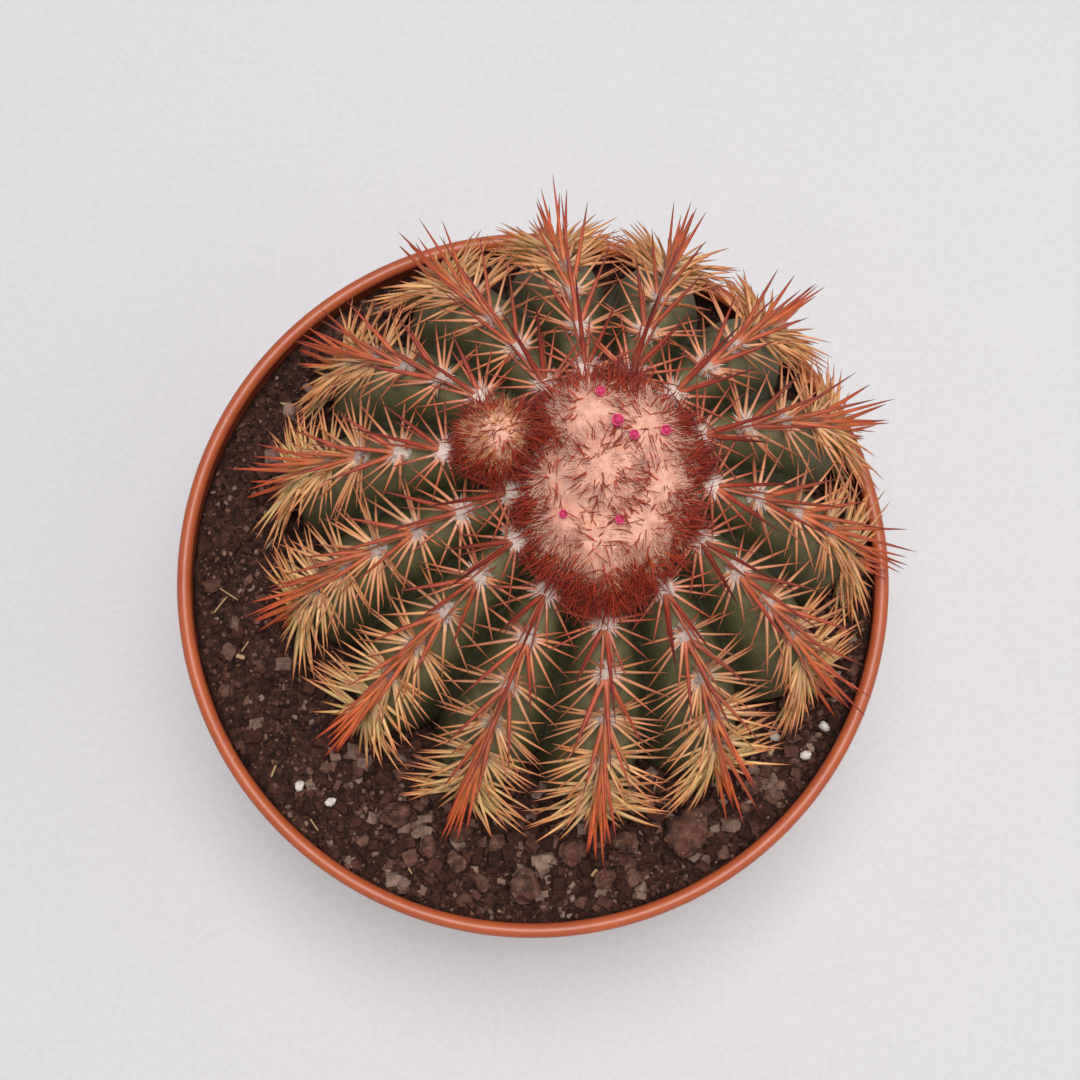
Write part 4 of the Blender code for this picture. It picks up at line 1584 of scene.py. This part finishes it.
@dataclass
class SpineRibs:
    """The spine cushions down each rib, each with outer and middle spines.

    Attributes:
        stem: what they grow on.
        crowns: the woolly crowns, where the ribs' rows start.
        rim_radius: of the pot.
        rim: height of the pot.
        axis: the pot's axis.
        spacing: from cushion to cushion.
        crown_margin: from a crown to the first cushion.
        lowest: height of the last cushion above the soil.
        areoles: for each rib, the arcs of its cushions.
        seed: of the first rib's draws.
    """

    stem: StemShape
    crowns: list[WoolDome]
    rim_radius: float
    rim: float
    axis: tuple[float, float]
    spacing: float = 0.0118
    crown_margin: float = 0.0030
    lowest: float = 0.0085
    areoles: dict[int, list[float]] = field(default_factory=dict)
    seed: int = 9

    def __post_init__(self) -> None:
        """Finds the cushions of every rib."""
        self.areoles = {index: self.places(self.bearing(index)) for index in range(self.stem.ribs)}

    def bearing(self, index: int) -> float:
        """The bearing of a rib, counted clockwise from the first."""
        return self.stem.first_rib - TURN * index / self.stem.ribs

    def places(self, bearing: float) -> list[float]:
        """Evenly spaced places down a rib.

        Args:
            bearing: the rib's bearing.

        Returns:
            Their arcs, from beside the crown to just above the soil.
        """
        arc, step = math.radians(12), 0.004
        while any(self.near(crown, self.stem.point(bearing, arc)) for crown in self.crowns):
            arc += step
        found, travelled, here = [arc], 0.0, self.stem.point(bearing, arc)
        while here[2] > self.stem.soil_level + self.lowest:
            arc += step
            onward = self.stem.point(bearing, arc)
            travelled += float(np.linalg.norm(onward - here))
            here = onward
            if travelled >= self.spacing and here[2] > self.stem.soil_level + self.lowest:
                found.append(arc)
                travelled = 0.0
        return found

    def near(self, crown: WoolDome, point: np.ndarray) -> bool:
        """Tells whether a point is within the margin round a crown.

        Args:
            crown: the crown.
            point: the point.

        Returns:
            True if it is.
        """
        spot = point[:2] - np.array(crown.centre)
        return float(np.hypot(*spot)) < crown.reach(math.atan2(spot[1], spot[0])) + self.crown_margin

    def clear(self, root: np.ndarray, way: np.ndarray, length: float) -> float:
        """Shortens a spine until it clears the soil and the pot's lip.

        Args:
            root: where it starts.
            way: its direction.
            length: the length wanted.

        Returns:
            The length that is clear.
        """
        way = unit(way)
        while length > 0.002:
            tip = root + way * length
            away = math.hypot(tip[0] - self.axis[0], tip[1] - self.axis[1])
            inside_lip = away < self.rim_radius - 0.005 or tip[2] > self.rim + 0.001
            if tip[2] > self.stem.soil_level + 0.002 and inside_lip:
                return length
            length -= 0.0005
        return length

    def build(self, looks: Looks) -> None:
        """Builds each rib's row and hands it over.

        Args:
            looks: the materials by name.
        """
        deselect()
        bpy.ops.mesh.primitive_uv_sphere_add(segments=12, ring_count=8, radius=1.0, location=(0, 0, 0))
        edit_all()
        bpy.ops.transform.vertex_random(offset=0.12, uniform=0.0, normal=0.0, seed=3)
        taper = ((0.06, 1.08), (0.2, 0.98), (0.45, 0.80), (0.7, 0.56), (0.88, 0.30), (1.0, 0.05))
        shapes = {
            "pad": take_template(),
            "fibre": drawn_out(3, ((0.5, 0.8), (1.0, 0.2))),
            "spine": drawn_out(8, taper),
        }
        for index, places in self.areoles.items():
            draw = random.Random(self.seed + index)
            store = Gathered("along", "age", "tone")
            for step, arc in enumerate(places):
                age = step / max(1, len(places) - 1)
                place = self.stem.directions(self.bearing(index), arc)
                cushion = Cushion(place, age, store, shapes, self.clear, draw)
                cushion.wool()
                cushion.outer_spines()
                cushion.middle_spines()
            name = f"spine_row_{index + 1:02d}"
            piece = store.build(f"{name}_spines", [looks["radial"], looks["central"], looks["cushion"]])
            hand_over(piece, "spine", name)


@dataclass
class Flowers:
    """Small closed flowers that push out of the wool.

    Attributes:
        crown: the wool they stand in.
        count: how many there are.
        whorls: for each ring of petals, their number, lean and length in flower radii.
        seed: of their draws.
    """

    crown: WoolDome
    count: int = 6
    whorls: tuple[tuple[int, float, float], ...] = ((6, 0.30, 1.30), (5, -0.12, 1.45))
    seed: int = 31

    def build(self, looks: Looks) -> None:
        """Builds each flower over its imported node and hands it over.

        Args:
            looks: the materials by name.
        """
        draw = random.Random(self.seed)
        petal = drawn_out(8, ((0.15, 1.1), (0.45, 1.5), (0.75, 1.2), (0.93, 0.6), (1.0, 0.1)))
        thin = petal.points * np.array((1.0, 0.28, 1.0))
        petal = Template(thin, petal.faces)
        tube = drawn_out(12, ((0.3, 1.05), (0.8, 1.25), (1.0, 1.0)))
        for index in range(1, self.count + 1):
            low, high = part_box(f"flower_{index}")
            x, y = (low.x + high.x) / 2, (low.y + high.y) / 2
            size = (high.x - low.x) / 2
            root = np.array((x, y, self.crown.top(x, y) - 0.0010))
            store = Gathered("along", "tone")
            store.add_bent(tube, root, UP, np.zeros(3), size * 1.3, size * 0.9, 0, tone=0.3)
            for whorl, (number, lean, long) in enumerate(self.whorls):
                for step in range(number):
                    turn = TURN * (step + 0.5 * whorl) / number + draw.uniform(-0.12, 0.12)
                    flat = np.array((math.cos(turn), math.sin(turn), 0.0))
                    start = root + UP * size * 1.0 + flat * size * 0.22
                    self.petal(store, petal, start, flat, lean, size, size * long, draw.random())
            piece = store.build(f"flower_{index}_petals", [looks["petal"]])
            hand_over(piece, "petal", f"flower_{index}")

    def petal(
        self,
        store: Gathered,
        shape: Template,
        start: np.ndarray,
        flat: np.ndarray,
        lean: float,
        size: float,
        length: float,
        tone: float,
    ) -> None:
        """Adds one petal, its blade facing the flower's middle.

        Args:
            store: what gathers the flower.
            shape: the petal along Z.
            start: its foot.
            flat: its direction outwards.
            lean: how far it opens.
            size: the flower's radius.
            length: its length.
            tone: how light it is.
        """
        way = unit(flat * lean + UP)
        side = np.cross(UP, flat)
        face = np.cross(side, way)
        along = shape.points[:, 2]
        middle = start + np.outer(along * length, way) + np.outer(along**2 * length * 0.02, flat)
        spread = np.outer(shape.points[:, 0], side) + np.outer(shape.points[:, 1], face)
        store.add(middle + spread * (size * 0.50) / 2, shape.faces, 0, along=along, tone=tone)


@dataclass(frozen=True)
class Lamp:
    """A soft square lamp that is aimed at the pot's rim: its name, place, width, power and colour."""

    name: str
    spot: tuple[float, float, float]
    size: float
    power: float
    colour: str


@dataclass
class Studio:
    """Table, soft lights and the camera above the plant.

    Attributes:
        axis: the pot's axis.
        rim: height of the pot.
        lamps: the soft lamps.
        air: strength of the even light from all sides.
        lens: focal length in millimetres on a 36 mm sensor.
        camera_from_rim: the camera's place from the middle of the rim.
        camera_tilt: how far it looks forwards from straight down.
    """

    axis: tuple[float, float]
    rim: float
    lamps: tuple[Lamp, ...] = (
        Lamp("overhead", (0.05, 0.05, 1.90), 0.85, 31.5, "#fdfbfb"),
        Lamp("window", (0.80, -0.20, 1.20), 0.8, 2.2, "#fff6ec"),
    )
    air: float = 0.23
    lens: float = 58.87
    camera_from_rim: tuple[float, float, float] = (0.0018, -0.0653, 0.4403)
    camera_tilt: float = math.radians(9.51)

    def build(self, looks: Looks) -> None:
        """Sets up everything that isn't the plant.

        Args:
            looks: the materials by name.
        """
        deselect()
        bpy.ops.mesh.primitive_plane_add(size=6.0, location=(0, 0, -0.0004))
        table = bpy.context.object
        table.name = "studio_table"
        table.data.materials.append(looks["table"])
        scene = bpy.context.scene
        world = bpy.data.worlds.new("studio_air")
        world.use_nodes = True
        background = world.node_tree.nodes["Background"]
        background.inputs["Color"].default_value = linear("#f4f6fb")
        background.inputs["Strength"].default_value = self.air
        scene.world = world
        scene.view_settings.view_transform = "Standard"
        for lamp in self.lamps:
            light = bpy.data.lights.new(lamp.name, "AREA")
            light.size = lamp.size
            light.energy = lamp.power
            light.color = linear(lamp.colour)[:3]
            held = bpy.data.objects.new(lamp.name, light)
            held.location = lamp.spot
            aim = Vector((*self.axis, self.rim)) - Vector(lamp.spot)
            held.rotation_euler = aim.to_track_quat("-Z", "Y").to_euler()
            scene.collection.objects.link(held)
        camera = bpy.data.cameras.new("camera")
        camera.sensor_width = 36.0
        camera.lens = self.lens
        camera.clip_start = 0.01
        held = bpy.data.objects.new("camera", camera)
        held.location = Vector((*self.axis, self.rim)) + Vector(self.camera_from_rim)
        held.rotation_euler = (self.camera_tilt, 0.0, 0.0)
        scene.collection.objects.link(held)
        scene.camera = held


def main() -> None:
    """Builds the plant, its pot and the studio."""
    logging.basicConfig(level=logging.INFO, format="%(message)s", stream=sys.stdout)
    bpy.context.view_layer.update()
    low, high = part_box("pot")
    axis = ((low.x + high.x) / 2, (low.y + high.y) / 2)
    rim_radius = (high.x - low.x) / 2
    rim = high.z
    stem = StemShape((axis[0] + 0.0075, axis[1] + 0.0105), rim - 0.0090)
    tip = (
        stem.foot[0] + stem.lean[0] * (stem.waist_lift + stem.shoulder),
        stem.foot[1] + stem.lean[1] * (stem.waist_lift + stem.shoulder),
    )
    looks = {
        "pot": POT_PLASTIC, "peat": PEAT, "crumb": CRUMB, "skin": SKIN, "radial": RADIAL_HORN,
        "central": CENTRAL_HORN, "cushion": CUSHION_WOOL, "felt": CROWN_FELT, "fibre": WOOL_FIBRE,
        "bristle": BRISTLE_HORN, "petal": PETAL_SKIN, "lava_stone": LAVA, "perlite": PERLITE,
        "straw": STRAW, "table": TABLE,
    }
    looks = {name: finish.make() for name, finish in looks.items()}
    crown = WoolDome(
        name="cephalium",
        slot="crown_wool",
        stem=stem,
        centre=(tip[0] + 0.0025, tip[1] - 0.0050),
        half_width=0.0192,
        half_length=0.0246,
        height=0.0118,
        lobes=(
            Lobe(-0.0050, 0.0155, 0.0094, 0.0050),
            Lobe(0.0090, 0.0110, 0.0102, 0.0058),
            Lobe(-0.0020, 0.0015, 0.0106, 0.0064),
            Lobe(-0.0125, -0.0005, 0.0078, 0.0036, 0.1),
            Lobe(-0.0098, -0.0090, 0.0076, 0.0036, 0.1),
            Lobe(-0.0030, -0.0145, 0.0086, 0.0042, 0.5),
            Lobe(0.0080, -0.0115, 0.0078, 0.0042, 0.4),
            Lobe(0.0130, -0.0020, 0.0078, 0.0036, 0.1),
            Lobe(0.0132, -0.0135, 0.0052, 0.0032, 0.9),
        ),
        bristles=2700,
        fibres=6000,
        bristle_length=(0.0045, 0.0092),
        notch=0.14,
        waves=((0.035, 3, 0.6), (0.025, 7, 0.0)),
    )
    side, side_radius, side_gap = crown.notch_bearing, 0.0083, 0.0006
    away = crown.reach(side) + side_radius + side_gap
    side_head = WoolDome(
        name="cephalium_side_head",
        slot="side_crown_wool",
        stem=stem,
        centre=(crown.centre[0] + away * math.cos(side), crown.centre[1] + away * math.sin(side)),
        half_width=side_radius,
        half_length=side_radius,
        height=0.0085,
        lobes=(Lobe(0.0, 0.0, 0.0074, 0.0034, 1.0),),
        bristles=760,
        fibres=1100,
        bristle_length=(0.0036, 0.0066),
        bristly=0.45,
        seed=8,
    )
    spines = SpineRibs(stem, [crown, side_head], rim_radius, rim, axis)
    pot = PlasticPot(axis, rim, rim_radius)
    pot.build(looks)
    wall_gap = 0.0003
    inside = rim_radius - pot.lip_overhang - pot.wall - wall_gap
    SoilBed(stem, axis, inside, pot.floor_lift + pot.wall + wall_gap).build(looks)
    LooseLumps(frame["nodes"]).build(looks)
    CactusStem(stem, spines.areoles).build(looks)
    spines.build(looks)
    crown.build(looks)
    side_head.build(looks)
    Flowers(crown).build(looks)
    Studio(axis, rim).build(looks)


if __name__ == "__main__":
    main()
